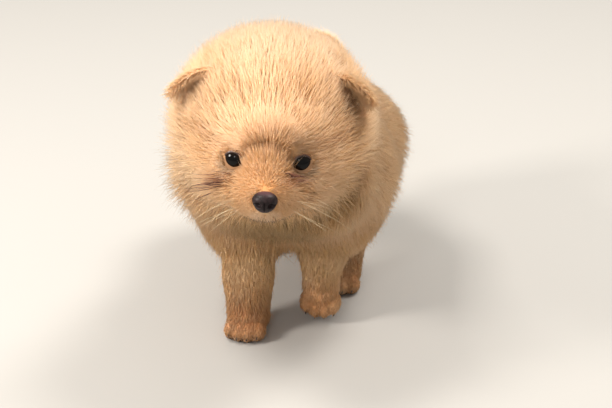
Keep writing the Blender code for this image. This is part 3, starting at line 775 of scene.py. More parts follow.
def read_points(mesh):
    """A mesh's points as rows of numbers."""
    flat = np.empty(len(mesh.vertices) * 3)
    mesh.vertices.foreach_get("co", flat)
    return flat.reshape(-1, 3)


def settle(mesh, rounds):
    """Moves the skin's points onto its form; the ears, which stand out of it, stay."""
    points = read_points(mesh)
    ways = slope(skin_field, points)
    for _ in range(rounds):
        away = skin_field(points)
        free = ~(near_ear(points, EAR_KEPT) & (away > EAR_OFF))
        step = np.clip(away[free], -SETTLE_MOST, SETTLE_MOST)
        points[free] -= ways[free] * step[:, None] * SETTLE_SHARE
    points[:, 2] = np.maximum(points[:, 2], FLOOR_GAP)
    mesh.vertices.foreach_set("co", points.ravel())
    mesh.update()


def refine(mesh, centre, reach):
    """Halves the skin's faces near a place."""
    work = bmesh.new()
    work.from_mesh(mesh)
    chosen = [face for face in work.faces if (face.calc_center_median() - Vector(centre)).length < reach]
    edges = list({edge for face in chosen for edge in face.edges})
    bmesh.ops.subdivide_edges(work, edges=edges, cuts=1, use_grid_fill=True)
    work.to_mesh(mesh)
    work.free()


def build_skin():
    """One closed skin from overlapping balls and two ears, remeshed and moved onto the form."""
    grow = SKIN_SHARE * TRUNK_COAT
    world = Matrix.Translation(Vector(SHIFT))
    parts = []
    for centre, half in (CHEST, BELLY, RUMP):
        parts.append(sphere(world @ placed(centre, [h + grow for h in half])))
    parts += chain([NECK_START, NECK_END], [t + grow for t in NECK_THICK])
    parts.append(sphere(HEAD_FRAME @ placed(*SKULL)))
    for form in (CHEEK, mirrored(CHEEK), BROW, mirrored(BROW), MUZZLE, JAW):
        parts.append(sphere(HEAD_FRAME @ placed(*form)))
    parts += chain(TAIL_PATH, tail_thick(SKIN_SHARE))
    for joints, thick in LEGS:
        parts += chain(joints, [t - LEG_SPARE for t in thick])
    for number in range(4):
        parts.append(sphere(paw_frame(number) @ placed(PAW_MIDDLE, PAW_SIZE)))
        for spot in toe_spots():
            parts.append(sphere(paw_frame(number) @ placed(spot, TOE_SIZE)))
    parts += [ear_mesh(-1.0), ear_mesh(1.0)]
    skin = join(parts)
    remesh = skin.modifiers.new("one_skin", "REMESH")
    remesh.mode = "VOXEL"
    remesh.voxel_size = VOXEL
    apply_all(skin)
    settle(skin.data, 5)
    smooth = skin.modifiers.new("even", "SMOOTH")
    smooth.factor = 0.5
    smooth.iterations = 3
    apply_all(skin)
    refine(skin.data, to_face(*MUZZLE_TIP), MUZZLE_REACH)
    settle(skin.data, 4)
    return skin


def unwrap(skin):
    """A flat map of the skin's own shape, on a coarse copy; roots look up their place on it."""
    coarse = link("map", skin.data.copy())
    fewer = coarse.modifiers.new("coarse", "DECIMATE")
    fewer.ratio = MAP_SHARE
    apply_all(coarse)
    bpy.ops.object.select_all(action="DESELECT")
    coarse.select_set(True)
    bpy.context.view_layer.objects.active = coarse
    bpy.ops.object.mode_set(mode="EDIT")
    bpy.ops.mesh.select_all(action="SELECT")
    bpy.ops.uv.smart_project(angle_limit=math.radians(66), island_margin=0.004)
    bpy.ops.object.mode_set(mode="OBJECT")
    return coarse


# Tufts: how many on each kind of ground, and how many more at face, eyes and stop, for one square centimetre
KINDS = ("trunk", "head", "tail", "leg", "paw", "ear")
TRUNK, HEAD, TAIL, LEG, PAW, EAR = range(6)
DENSITY = np.array((128, 280, 150, 190, 270, 420))
FACE_DENSITY = 520
EYE_DENSITY = 500
STOP_DENSITY = 500.0
SQUARE_CENTIMETRES = 1e4  # in a square metre

# Regions of the head, and the ears' ground. The stop is the dip between the eyes.
FULL_FROM_NOSE = (0.006, 0.046)
BROW_SPOT = (0.0, -0.032, -0.004)
BROW_HEIGHT = (-0.012, 0.000)
BROW_REACH = (0.036, 0.010)
BROW_CUT = 0.75
STOP_SPOT = (0.0, -0.032, -0.001)
STOP_REACH = (0.017, 0.005)
EYE_REACH = (0.0135, 0.0075)
EYE_CLEAR = 0.0048
EAR_REACH = 0.016
EAR_RISE = 0.0024
SOLE_HEIGHT = 0.0007
BARE_NOSE = (0.86, 1.2, 0.80)
BARE_LIPS = 0.0006
EAR_HANG = (0.6, 0.008, -0.012)

# Hair heights and reaches along the skin, in metres: a first number, and what the named share adds to it
LEAST_DEPTH = 0.0006
FULL_DEPTH = 0.013
MOST_FULL = 1.2
LEG_FEATHER = (0.012, 0.060)
EAR_INSIDE = (0.1, 0.6)
FACE_LEAST = (0.0010, 0.0018)
FACE_STROKE = (0.0036, 0.0074)
FULL_STROKE = 0.0065
LEG_HEIGHT = (0.0022, 0.0030)
PAW_HEIGHT = 0.0010
EAR_HEIGHT = (0.0018, 0.0020)
TRUNK_STROKE = (0.0060, 0.0120)
TAIL_STROKE = (0.0050, 0.0070)
LEG_STROKE = (0.0056, 0.0044)
PAW_STROKE = 0.0032
EAR_STROKE = 0.0037
FACE_FINE = (0.00034, 0.00012)
COAT_WIDTHS = {TRUNK: 0.00060, TAIL: 0.00056, LEG: 0.00050, PAW: 0.00040, EAR: 0.00030}
STOP_HEIGHT = 0.0014
STOP_STROKE = 0.0034

# Shares taken off at the rims of the eyes and at the stop
EYE_LEAST_CUT = 0.55
EYE_DEPTH_CUT = 0.7
EYE_STROKE_CUT = 0.5
EYE_WIDTH_CUT = 0.3
STOP_WIDTH_CUT = 0.25

# How single tufts differ: the wild ones stand out singly and the tame ones lie in groups
WILD_SHARE = 0.15
WILD_HEIGHT = (1.00, 1.20)
TAME_HEIGHT = (0.78, 1.10)
STROKE_RANGE = (0.75, 1.25)
WIDTH_RANGE = (0.7, 1.2)
WILD_WIDTH = 0.45
LONG_SPREAD = 0.22
SHORT_SPREAD = 0.12
WILD_SPREAD = 1.6
ROOT_SUNK = 0.0009
BEND_HEIGHT = 0.70
BEND_STROKE = 0.16
GROUPS = 0.06
LONG_PULL = (0.00, 0.24)
SHORT_PULL = 0.12
WILD_OVER = 0.0032
TAME_OVER = 0.0004
TIP_FLOOR = 0.0003
BEND_FLOOR = 0.0006
GROUP_TONE = (0.35, 0.25)
TUFT_TONE = 0.22

# A tuft's rings, each with its place along it and its share of the width; its turn, and its patch on the flat
# map
RINGS = {
    2: ((0.0, 0.85), (0.5, 0.80)),
    4: ((0.0, 0.9), (0.3, 0.8), (0.6, 0.6), (0.85, 0.35)),
}
TUFT_TURN = 0.7
TUFT_TRIANGLES = 10
MOST_TRIANGLES = 195000
UV_PATCH = 0.003
PATCH_ACROSS = (-0.4, 0.4, 0.0)


def ground(points):
    """Which form each place lies on, and its kind of ground."""
    rows = all_forms(points, SKIN_SHARE)
    label = rows.argmin(axis=0)
    kind = np.select([label == 0, label == 1, label == 2, label < 7], [HEAD, TRUNK, TAIL, LEG], PAW)
    kind[near_ear(points, EAR_REACH) & (rows.min(axis=0) > EAR_RISE)] = EAR
    return label, kind


def from_spot(q, spot):
    """How far places in the head's axes are from one of them."""
    return np.linalg.norm(q - np.array(spot), axis=1)


def off_nose(points):
    """0 beside the nose and 1 where the full coat begins."""
    return smoothstep(*FULL_FROM_NOSE, from_spot(into_head(points), NOSE_PLACE))


def off_brow(points):
    """The forehead hair's share of its full height: little between the eyes and all of it on the crown."""
    q = into_head(points)
    above = smoothstep(*BROW_HEIGHT, q[:, 2])
    return 1.0 - BROW_CUT * above * smoothstep(*BROW_REACH, from_spot(q, BROW_SPOT))


def near_stop(points):
    """1 in the dip between the eyes and 0 a little way off."""
    return smoothstep(*STOP_REACH, from_spot(into_head(points), STOP_SPOT))


def by_eye(points):
    """1 at the rims of the eyes and 0 a little way off."""
    return smoothstep(*EYE_REACH, from_spot(one_side(into_head(points)), EYE_PLACE))


def grown(pair, share):
    """The first number, and as much of the second as the share says."""
    return pair[0] + pair[1] * share


class Roots:
    """Places where tufts start, with the skin's direction, the lie and the kind of ground there."""

    def __init__(self, skin, rng):
        mesh = skin.data
        mesh.calc_loop_triangles()
        corners = np.empty(len(mesh.loop_triangles) * 3, dtype=np.int64)
        mesh.loop_triangles.foreach_get("vertices", corners)
        corners = corners.reshape(-1, 3)
        points = read_points(mesh)
        normals = np.empty(len(mesh.vertices) * 3)
        mesh.vertices.foreach_get("normal", normals)
        normals = normals.reshape(-1, 3)
        a, b, c = points[corners[:, 0]], points[corners[:, 1]], points[corners[:, 2]]
        area = np.linalg.norm(np.cross(b - a, c - a), axis=1) / 2
        label, kind = ground(points)
        wanted = DENSITY[kind] + (kind == HEAD) * FACE_DENSITY * (1.0 - off_nose(points))
        wanted = wanted + EYE_DENSITY * by_eye(points) + STOP_DENSITY * near_stop(points)
        weight = area * wanted[corners].mean(axis=1) * SQUARE_CENTIMETRES
        count = int(weight.sum())
        pick = rng.choice(len(area), count, p=weight / weight.sum())
        u, v = rng.random(count), rng.random(count)
        over = u + v > 1.0
        u[over], v[over] = 1.0 - u[over], 1.0 - v[over]
        share = np.column_stack((1.0 - u - v, u, v))
        place = np.einsum("nk,nkj->nj", share, points[corners[pick]])
        outward = unit(np.einsum("nk,nkj->nj", share, normals[corners[pick]]))
        hairy = ~bare_ground(place)
        self.place, self.outward = place[hairy], outward[hairy]
        self.label, self.kind = label[corners[pick, 0]][hairy], kind[corners[pick, 0]][hairy]
        self.lie = lie_of(self.place, self.label)
        ears = self.kind == EAR
        self.lie[ears] = ear_lie(self.place[ears])
        self.lie = unit(self.lie - self.outward * np.sum(self.lie * self.outward, axis=1)[:, None])

    def sizes(self):
        """Height, reach and width of the hair on each root."""
        depth = np.maximum(-dog(self.place, 1.0), LEAST_DEPTH)
        full = np.minimum(depth / FULL_DEPTH, MOST_FULL)
        face, eye, stop = off_nose(self.place), by_eye(self.place), near_stop(self.place)
        feather = smoothstep(*LEG_FEATHER, self.place[:, 2])
        inner = smoothstep(*EAR_INSIDE, -(self.outward @ HEAD_TURN)[:, 1])
        least = grown(FACE_LEAST, face) * (1.0 - EYE_LEAST_CUT * eye)
        short = np.maximum(depth * (1.0 - EYE_DEPTH_CUT * eye) * off_brow(self.place), least)
        stroke = (grown(FACE_STROKE, face) + FULL_STROKE * full * face) * (1.0 - EYE_STROKE_CUT * eye)
        fine = grown(FACE_FINE, face) * (1.0 - EYE_WIDTH_CUT * eye) * (1.0 - STOP_WIDTH_CUT * stop)
        height = {
            TRUNK: depth,
            HEAD: short + STOP_HEIGHT * stop,
            TAIL: depth,
            LEG: grown(LEG_HEIGHT, feather),
            PAW: PAW_HEIGHT,
            EAR: grown(EAR_HEIGHT, inner),
        }
        reach = {
            TRUNK: grown(TRUNK_STROKE, full),
            HEAD: stroke + STOP_STROKE * stop,
            TAIL: grown(TAIL_STROKE, full),
            LEG: grown(LEG_STROKE, feather),
            PAW: PAW_STROKE,
            EAR: EAR_STROKE,
        }
        width = {HEAD: fine, **COAT_WIDTHS}
        return (
            np.select([self.kind == kind for kind in values], list(values.values()))
            for values in (height, reach, width)
        )


def bare_ground(points):
    """Eyes, nose, the line between the lips and the soles grow no hair."""
    q = into_head(points)
    bare = points[:, 2] < SOLE_HEIGHT
    bare |= from_spot(one_side(q), EYE_PLACE) < EYE_RADIUS
    bare |= ball(q, NOSE_PLACE, np.array(NOSE_SIZE) * BARE_NOSE) < 0.0
    return bare | (mouth_depth(points) > BARE_LIPS)


def ear_lie(points):
    """Hair on the ears runs out along them and hangs down behind."""
    side = np.sign(into_head(points)[:, 0])
    out, behind, down = EAR_HANG
    along = (EAR_TIP[0] - EAR_ROOT[0]) * side
    ways = np.column_stack((along * out, np.full(len(side), behind), np.full(len(side), down)))
    return unit(ways @ HEAD_TURN.T)


def nearest(points, seeds):
    """For each point, the number of the seed that lies nearest."""
    tree = KDTree(len(seeds))
    for number, seed in enumerate(seeds):
        tree.insert(seed, number)
    tree.balance()
    return np.array([tree.find(point)[1] for point in points])


def tuft_mesh(name, start, bend, tip, outward, lie, width, root, tone, uv, look, rng, rings=2, flat=0.7):
    """Closed three-sided blades along bent paths, as one mesh."""
    count = len(start)
    turn = rng.uniform(-TUFT_TURN, TUFT_TURN, count)[:, None]
    across_0 = unit(np.cross(outward, lie))
    points = np.empty((count, rings * 3 + 1, 3))
    along = np.ones((count, rings * 3 + 1))
    for ring, (t, share) in enumerate(RINGS[rings]):
        spot = start * (1 - t) ** 2 + bend * 2 * t * (1 - t) + tip * t**2
        ahead = unit((bend - start) * (1 - t) + (tip - bend) * t)
        across = unit(across_0 * np.cos(turn) + np.cross(ahead, across_0) * np.sin(turn))
        half = (width / 2 * share)[:, None]
        points[:, ring * 3] = spot - across * half
        points[:, ring * 3 + 1] = spot + across * half
        points[:, ring * 3 + 2] = spot + np.cross(ahead, across) * half * flat
        along[:, ring * 3 : ring * 3 + 3] = t
    points[:, -1] = tip
    faces = [(0, 2, 1)]
    for ring in range(rings - 1):
        for k in range(3):
            a, b = ring * 3 + k, ring * 3 + (k + 1) % 3
            faces += [(a, b, b + 3), (a, b + 3, a + 3)]
    last = (rings - 1) * 3
    faces += [(last + k, last + (k + 1) % 3, last + 3) for k in range(3)]
    size = rings * 3 + 1
    corners = (np.array(faces)[None] + (np.arange(count) * size)[:, None, None]).reshape(-1)
    mesh = bpy.data.meshes.new(name)
    mesh.vertices.add(count * size)
    mesh.vertices.foreach_set("co", points.ravel())
    mesh.loops.add(len(corners))
    mesh.loops.foreach_set("vertex_index", corners.astype(np.int32))
    mesh.polygons.add(len(corners) // 3)
    mesh.polygons.foreach_set("loop_start", np.arange(0, len(corners), 3, dtype=np.int32))
    mesh.polygons.foreach_set("use_smooth", np.ones(len(corners) // 3, dtype=bool))
    mesh.update(calc_edges=True)
    for attribute, values in (("along", along), ("tone", np.repeat(tone[:, None], size, axis=1))):
        layer = mesh.attributes.new(attribute, "FLOAT", "POINT")
        layer.data.foreach_set("value", values.ravel().astype(np.float32))
    layer = mesh.attributes.new("root", "FLOAT_VECTOR", "POINT")
    layer.data.foreach_set("vector", np.repeat(root[:, None], size, axis=1).ravel().astype(np.float32))
    spread = np.append(np.tile(PATCH_ACROSS, rings), 0.0)
    patch = np.empty((count, size, 2))
    patch[:, :, 0] = uv[:, None, 0] + UV_PATCH * spread
    patch[:, :, 1] = uv[:, None, 1] + UV_PATCH * (along - 0.5)
    layer = mesh.uv_layers.new(name="OFBake")
    layer.data.foreach_set("uv", patch.reshape(-1, 2)[corners].ravel().astype(np.float32))
    made = link(name, mesh)
    mesh.materials.append(look)
    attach(made, "root")


class FlatMap:
    """The skin's own shape laid flat: each place looks up its spot on the nearest face."""

    def __init__(self, coarse):
        mesh = coarse.data
        middles = np.empty(len(mesh.polygons) * 3)
        mesh.polygons.foreach_get("center", middles)
        self.middles = middles.reshape(-1, 3)
        flat = mesh.uv_layers.active.data
        rows = []
        for face in mesh.polygons:
            i, j, k = face.loop_indices[:3]
            a, b, c = (mesh.vertices[mesh.loops[n].vertex_index].co for n in (i, j, k))
            rows.append((*a, *b, *c, *flat[i].uv, *flat[j].uv, *flat[k].uv))
        self.rows = np.array(rows)

    def spots(self, points):
        """The flat place of each point, by its shares of the nearest face's corners."""
        rows = self.rows[nearest(points, self.middles)]
        a, b, c = rows[:, 0:3], rows[:, 3:6], rows[:, 6:9]
        e, f, g = b - a, c - a, points - a
        ee, ff, ef = (e * e).sum(1), (f * f).sum(1), (e * f).sum(1)
        ge, gf = (g * e).sum(1), (g * f).sum(1)
        low = ee * ff - ef * ef + 1e-18
        s = np.clip((ff * ge - ef * gf) / low, -0.2, 1.2)[:, None]
        t = np.clip((ee * gf - ef * ge) / low, -0.2, 1.2)[:, None]
        u, v, w = rows[:, 9:11], rows[:, 11:13], rows[:, 13:15]
        return np.clip(u + (v - u) * s + (w - u) * t, 0.002, 0.998)


def clear_eyes(points):
    """Moves points that would lie before the opening of an eye out to its rim."""
    for side in (-1.0, 1.0):
        turn = np.array(eye_frame(side))
        q = into(turn, points)
        away = np.hypot(q[:, 0], q[:, 1]) + 1e-9
        before = (away < EYE_CLEAR) & (q[:, 2] > 0.0)
        q[before, :2] *= (EYE_CLEAR / away[before])[:, None]
        points = out_of(turn, q)
    return points


def grow_coat(skin, flat_map, look):
    """The whole coat, in pieces small enough to bake."""
    rng = np.random.default_rng(SEED)
    roots = Roots(skin, rng)
    count = len(roots.place)
    height, reach, width = roots.sizes()
    full = (roots.kind < LEG)[:, None]
    wild = rng.random(count) < WILD_SHARE
    height = height * np.where(wild, rng.uniform(*WILD_HEIGHT, count), rng.uniform(*TAME_HEIGHT, count))
    reach = reach * rng.uniform(*STROKE_RANGE, count)
    width = width * np.where(wild, WILD_WIDTH, 1.0) * rng.uniform(*WIDTH_RANGE, count)
    stray = rng.normal(size=(count, 3)) * np.where(full, LONG_SPREAD, SHORT_SPREAD)
    lie = unit(roots.lie + stray * np.where(wild, WILD_SPREAD, 1.0)[:, None])
    start = roots.place - roots.outward * ROOT_SUNK
    bend = roots.place + roots.outward * (height * BEND_HEIGHT)[:, None]
    bend = bend + lie * (reach * BEND_STROKE)[:, None]
    tip = roots.place + roots.outward * height[:, None] + lie * reach[:, None]
    seeds = roots.place[rng.choice(count, int(count * GROUPS), replace=False)]
    group = nearest(roots.place, seeds)
    middle = np.zeros((len(seeds), 3))
    np.add.at(middle, group, tip)
    middle /= np.maximum(np.bincount(group, minlength=len(seeds)), 1)[:, None]
    pull = np.where(full[:, 0], rng.uniform(*LONG_PULL, count), SHORT_PULL) * ~wild
    tip = tip + (middle[group] - tip) * pull[:, None]
    over = dog(tip, 1.0) - np.where(wild, WILD_OVER, TAME_OVER)
    tip -= roots.outward * (np.maximum(over, 0.0) * (roots.kind != EAR))[:, None]
    tip[:, 2] = np.maximum(tip[:, 2], TIP_FLOOR)
    bend[:, 2] = np.maximum(bend[:, 2], BEND_FLOOR)
    bend, tip = clear_eyes(bend), clear_eyes(tip)
    uv = flat_map.spots(roots.place)
    tone = rng.normal(*GROUP_TONE, len(seeds))[group] + rng.normal(0.0, TUFT_TONE, count)
    tone = np.clip(tone, 0.0, 1.0)
    for kind, name in enumerate(KINDS):
        picked = np.flatnonzero(roots.kind == kind)
        picked = picked[np.argsort(roots.place[picked, 1])]
        parts = max(1, math.ceil(len(picked) * TUFT_TRIANGLES / MOST_TRIANGLES))
        for part, some in enumerate(np.array_split(picked, parts)):
            title = f"coat_{name}_{part + 1}"
            tuft_mesh(title, start[some], bend[some], tip[some], roots.outward[some], lie[some], width[some],
                      roots.place[some], tone[some], uv[some], look, rng)


# Eyes: the iris swells a little; distances from the pupil are in millimetres
MILLIMETRE = (0.001, 0.001, 0.001)
IRIS_START = 0.72
IRIS_DEPTH = 0.28
IRIS_SWELL = 0.045
PUPIL_TINT = (0.002, 0.0015, 0.0015)
IRIS_TINT = (0.009, 0.005, 0.003)
IRIS_EDGE_TINT = (0.006, 0.004, 0.003)

# Lids: half the opening's width and its height above and below, the rim's breadth and height, and their hair
LID_WIDE = 0.00555
LID_HIGH = 0.00510
LID_LOW = 0.00500
LID_SPREAD = 0.0062
LID_RISE = 0.0026
LID_GAP = 0.0001
LID_DARK = (0.026, 0.010, 0.008)
LID_BROWN = (0.060, 0.024, 0.018)
LID_PINK = (0.42, 0.20, 0.17)
LID_FUR = (0.40, 0.175, 0.065)
PINK_SIZE = (0.0040, 0.0040, 0.0014)
LID_HAIRS = 620
LID_HAIR_RING = (0.0047, 0.0069)
LID_HAIR_WIDTH = 0.00026
LID_HAIR_LENGTH = (0.0014, 0.0030)

# Nose, in its own place: two merged balls less nostrils, slits and cleft; then its colours
NOSE_MIDDLE = (0.0, 0.0006, -0.0004)
NOSE_UPPER = ((0.0, 0.0, 0.0010), (0.95, 1.0, 0.72))
NOSE_LOWER = ((0.0, 0.0004, -0.0020), (0.68, 0.85, 0.64))
NOSE_BLEND = 0.0034
NOSTRIL = ((0.0031, -0.0046, -0.0006), (0.0017, 0.0030, 0.0015))
NOSE_SLIT = ((0.0050, -0.0034, -0.0006), (0.0016, 0.0020, 0.0006))
SLIT_BLEND = 0.0006
HOLE_BLEND = 0.0004
NOSE_CLEFT_HALF = 0.00028
NOSE_CLEFT_TOP = 0.0005
NOSE_CLEFT_FRONT = 0.0034
NOSE_CLEFT_DEPTH = 0.0003
NOSE_REACH = 0.012
NOSE_DARK = (0.010, 0.006, 0.006)
NOSE_BROWN = (0.024, 0.013, 0.014)
NOSE_SHEEN = (0.105, 0.046, 0.056)
SHEEN_SIZE = (0.0062, 0.0050, 0.0034)


def build_eye(name, side, look):
    """An eyeball with a slight swell over the iris."""
    made = sphere(Matrix.Identity(4), 48, 32)
    for vert in made.data.vertices:
        front = max(0.0, vert.co.z - IRIS_START) / IRIS_DEPTH
        vert.co *= EYE_RADIUS * (1.0 + IRIS_SWELL * front)
    made.data.transform(eye_frame(side))
    finish_mesh(name, made, look)
    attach(made, "root")
    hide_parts(name.replace("eyeball", "eye"))


def before_eye(side, *point):
    """A place in an eye's own axes, in the shared frame."""
    return tuple(eye_frame(side) @ Vector(point))


def eye_material(side):
    """Near-black brown iris round a black pupil, under a wet surface."""
    made, tree, shader = new_material("eyeball", 0.03, IOR=1.38, Specular_IOR_Level=0.3)
    from_pupil = spot_on(tree).away(before_eye(side, 0.0, 0.0, EYE_RADIUS), MILLIMETRE)
    iris = from_pupil.rise(2.0, 3.9).mix(PUPIL_TINT, IRIS_TINT)
    from_pupil.rise(4.2, 4.9).mix(iris, IRIS_EDGE_TINT).into(shader.inputs["Base Color"])
    return made


def build_lids(look):
    """Broad flat rims round both eyes, from the opening out to the skin."""
    made = []
    for side in (-1.0, 1.0):
        bpy.ops.mesh.primitive_torus_add(minor_radius=0.2, major_segments=48, minor_segments=12)
        rim = bpy.context.object
        for vert in rim.data.vertices:
            spin = math.atan2(vert.co.y, vert.co.x)
            out = (math.hypot(vert.co.x, vert.co.y) - 1.0) * LID_SPREAD
            high = LID_HIGH if math.sin(spin) > 0 else LID_LOW
            x, y = math.cos(spin) * (LID_WIDE + out), math.sin(spin) * (high + out)
            base = math.sqrt(max(EYE_RADIUS**2 - x * x - y * y, 0.0))
            vert.co = (x, y, base + vert.co.z * LID_RISE + LID_GAP)
        rim.data.transform(eye_frame(side))
        made.append(rim)
    lids = finish_mesh("lids", join(made), look)
    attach(lids, "root")


def lid_material():
    """Dark rims, pinkish below the eye, that pass into the colour of the fur round them."""
    made, tree, shader = new_material("lid", 0.45, Coat_Weight=0.2)
    place = spot_on(tree)
    colour = place.noise(500.0).rise(0.3, 0.7).mix(LID_DARK, LID_BROWN)
    for side in (-1.0, 1.0):
        low = before_eye(side, -side * 0.0010, -0.0044, 0.0050)
        colour = place.patch(low, PINK_SIZE, 0.65, 0.4).mix(colour, LID_PINK)
    right, left = [place.away(before_eye(side, 0.0, 0.0, 0.0052), MILLIMETRE) for side in (-1.0, 1.0)]
    beyond = right.rise(4.5, 5.4) * left.rise(4.5, 5.4)
    beyond.mix(colour, LID_FUR).into(shader.inputs["Base Color"])
    return made


def grow_lid_fur(flat_map, look):
    """Short hair on the lids, from the edge of each opening outwards."""
    rng = np.random.default_rng(SEED + 3)
    roots, outward, ways = [], [], []
    for side in (-1.0, 1.0):
        turn = np.array(eye_frame(side))
        spin, away = rng.uniform(0.0, 2.0 * math.pi, LID_HAIRS), rng.uniform(*LID_HAIR_RING, LID_HAIRS)
        x, y = away * np.cos(spin), away * np.sin(spin) * 0.96
        high = np.sqrt((EYE_RADIUS + 0.0002) ** 2 - np.minimum(x * x + y * y, 0.0064**2))
        spots = np.column_stack((x, y, high))
        roots.append(out_of(turn, spots))
        outward.append(unit(spots) @ turn[:3, :3].T)
        ways.append(unit(np.column_stack((x, y, -0.3 * away))) @ turn[:3, :3].T)
    roots, outward, ways = np.concatenate(roots), np.concatenate(outward), np.concatenate(ways)
    ways = unit(0.8 * ways + 0.7 * head_lie(roots) + rng.normal(0.0, 0.15, roots.shape))
    count = len(roots)
    length = rng.uniform(*LID_HAIR_LENGTH, count)[:, None]
    tip = roots + ways * length + outward * length * 0.35
    bend = roots + ways * length * 0.3 + outward * length * 0.32
    tone = np.clip(rng.normal(0.4, 0.2, count), 0.0, 1.0)
    width = np.full(count, LID_HAIR_WIDTH)
    tuft_mesh("coat_lids", roots - outward * 0.0004, bend, tip, outward, ways, width, roots, tone,
              flat_map.spots(roots), look, rng)


def nose_field(p):
    """Distance to the nose, with its nostrils, their slits to the sides and the cleft cut in."""
    size = np.array(NOSE_SIZE)
    halves = [ball(p, middle, size * share) for middle, share in (NOSE_UPPER, NOSE_LOWER)]
    half = one_side(p)
    holes = merged([ball(half, *NOSTRIL), ball(half, *NOSE_SLIT)], SLIT_BLEND)
    cleft = half[:, 0] - NOSE_CLEFT_HALF + 0.4 * np.maximum(0.0, p[:, 2] - NOSE_CLEFT_TOP)
    cleft = np.maximum(cleft, p[:, 1] + NOSE_CLEFT_FRONT)
    solid = -merged([-merged(halves, NOSE_BLEND), holes], HOLE_BLEND)
    return np.maximum(solid, -np.maximum(cleft, -NOSE_CLEFT_DEPTH))


def build_nose(look):
    """The nose leather: a fine ball whose points are moved out to its form, each along its own line."""
    bpy.ops.mesh.primitive_ico_sphere_add(subdivisions=6, radius=1.0)
    made = bpy.context.object
    ways = read_points(made.data)
    ways /= np.linalg.norm(ways, axis=1)[:, None]
    low, high = np.zeros(len(ways)), np.full(len(ways), NOSE_REACH)
    for _ in range(24):
        middle = (low + high) / 2
        inside = nose_field(ways * middle[:, None] + np.array(NOSE_MIDDLE)) < 0.0
        low, high = np.where(inside, middle, low), np.where(inside, high, middle)
    points = ways * low[:, None] + np.array(NOSE_MIDDLE)
    made.data.vertices.foreach_set("co", points.ravel())
    made.data.transform(HEAD_FRAME @ Matrix.Translation(NOSE_PLACE))
    finish_mesh("nose_tip", made, look)
    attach(made, "root")
    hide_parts("nose")


def nose_material():
    """Damp, dark purplish brown leather with a fine pebbled grain."""
    damp = {"Coat_Weight": 0.05, "Coat_Roughness": 0.25, "Specular_IOR_Level": 0.18}
    made, tree, shader = new_material("nose_leather", 0.45, **damp)
    place = spot_on(tree)
    top = to_face(0.0, NOSE_PLACE[1] + 0.001, NOSE_PLACE[2] + 0.0050)
    colour = place.noise(700.0).rise(0.3, 0.7).mix(NOSE_DARK, NOSE_BROWN)
    place.patch(top, SHEEN_SIZE, 0.65, 0.3).mix(colour, NOSE_SHEEN).into(shader.inputs["Base Color"])
    cells = place.node("ShaderNodeTexVoronoi", {}, {"Vector": place, "Scale": 1500.0})
    Wire(cells.outputs["Distance"]).bump(0.5, 0.00015).into(shader.inputs["Normal"])
    return made


# Whiskers, wet hair, claws and pads
WHISKERS = 7
WHISKER_WIDTH = 0.00015
WHISKER_TINT = (0.74, 0.56, 0.36)
WET_HAIR_TINT = (0.100, 0.027, 0.015)
CLAW_TINT = (0.055, 0.030, 0.020)
PAD_TINT = (0.045, 0.028, 0.024)

# For each side: how many streaks, where they start from inner to outer, front, top and drop, and their length
STREAKS = [
    (-1.0, 22, 0.0130, 0.0080, -0.029, -0.0115, 0.0080, 0.0095),
    (1.0, 16, 0.0040, 0.0065, -0.036, -0.0118, 0.0032, 0.0040),
]
STREAK_WIDTH = 0.00030
CLAW_RADIUS = 0.0008
CLAW_TIP = 0.0002
CLAW_LENGTH = 0.0040
CLAW_PITCH = 112.0
CLAW_AHEAD = 0.0060
CLAW_BELOW = 0.0010
PALM = ((0.0, 0.0005, 0.0009), (0.0056, 0.0048, 0.0012))
TOE_PAD = (0.0024, 0.0032, 0.0010)
TOE_PAD_BACK = 0.0012
TOE_PAD_HEIGHT = 0.0008
PAD_FLOOR = 0.0001


def plain_tint(name, colour, roughness, **fixed):
    """Hair or horn of one colour that varies a little along its length."""
    made, tree, shader = new_material(name, roughness, **fixed)
    lighter = tuple(min(1.0, c * 1.5 + 0.01) for c in colour)
    spot_on(tree).noise(260.0).rise(0.3, 0.7).mix(colour, lighter).into(shader.inputs["Base Color"])
    return made


def strands(name, places, ways, lengths, flat_map, look, rng, lift, droop, width):
    """Single strands that start on the skin near given places of the head, such as whiskers."""
    root = np.array([out_of_head(place) for place in places])
    down = np.array((0.0, 0.0, -1.0))
    for _ in range(6):
        root -= slope(skin_field, root) * skin_field(root)[:, None]
    outward = slope(skin_field, root)
    ways = unit(np.array(ways)) @ HEAD_TURN.T
    lengths = np.array(lengths)[:, None]
    tip = root + ways * lengths + outward * lift * lengths + down * droop * lengths
    bend = root + ways * lengths * 0.5 + outward * (lift + 0.12) * lengths
    bend, tip = clear_eyes(bend), clear_eyes(tip)
    count = len(root)
    tuft_mesh(name, root - outward * 0.001, bend, tip, outward, ways, np.full(count, width),
              root, rng.random(count), flat_map.spots(root), look, rng, rings=4, flat=0.9)


def build_whiskers(flat_map, look):
    """Long pale whiskers on both sides of the muzzle."""
    rng = np.random.default_rng(SEED + 1)
    places, ways, lengths = [], [], []
    for side in (-1.0, 1.0):
        for _ in range(WHISKERS):
            a, b, c, d, e, f, g = rng.random(7)
            places.append((side * (0.0095 + 0.002 * a), -0.037 - 0.008 * b, -0.0165 - 0.007 * c))
            ways.append((side * (0.80 + 0.2 * d), 0.35 * e - 0.02, 0.45 * f - 0.55))
            lengths.append(0.015 + 0.011 * g)
    shape = {"lift": 0.15, "droop": 0.26, "width": WHISKER_WIDTH}
    strands("whiskers", places, ways, lengths, flat_map, look, rng, **shape)


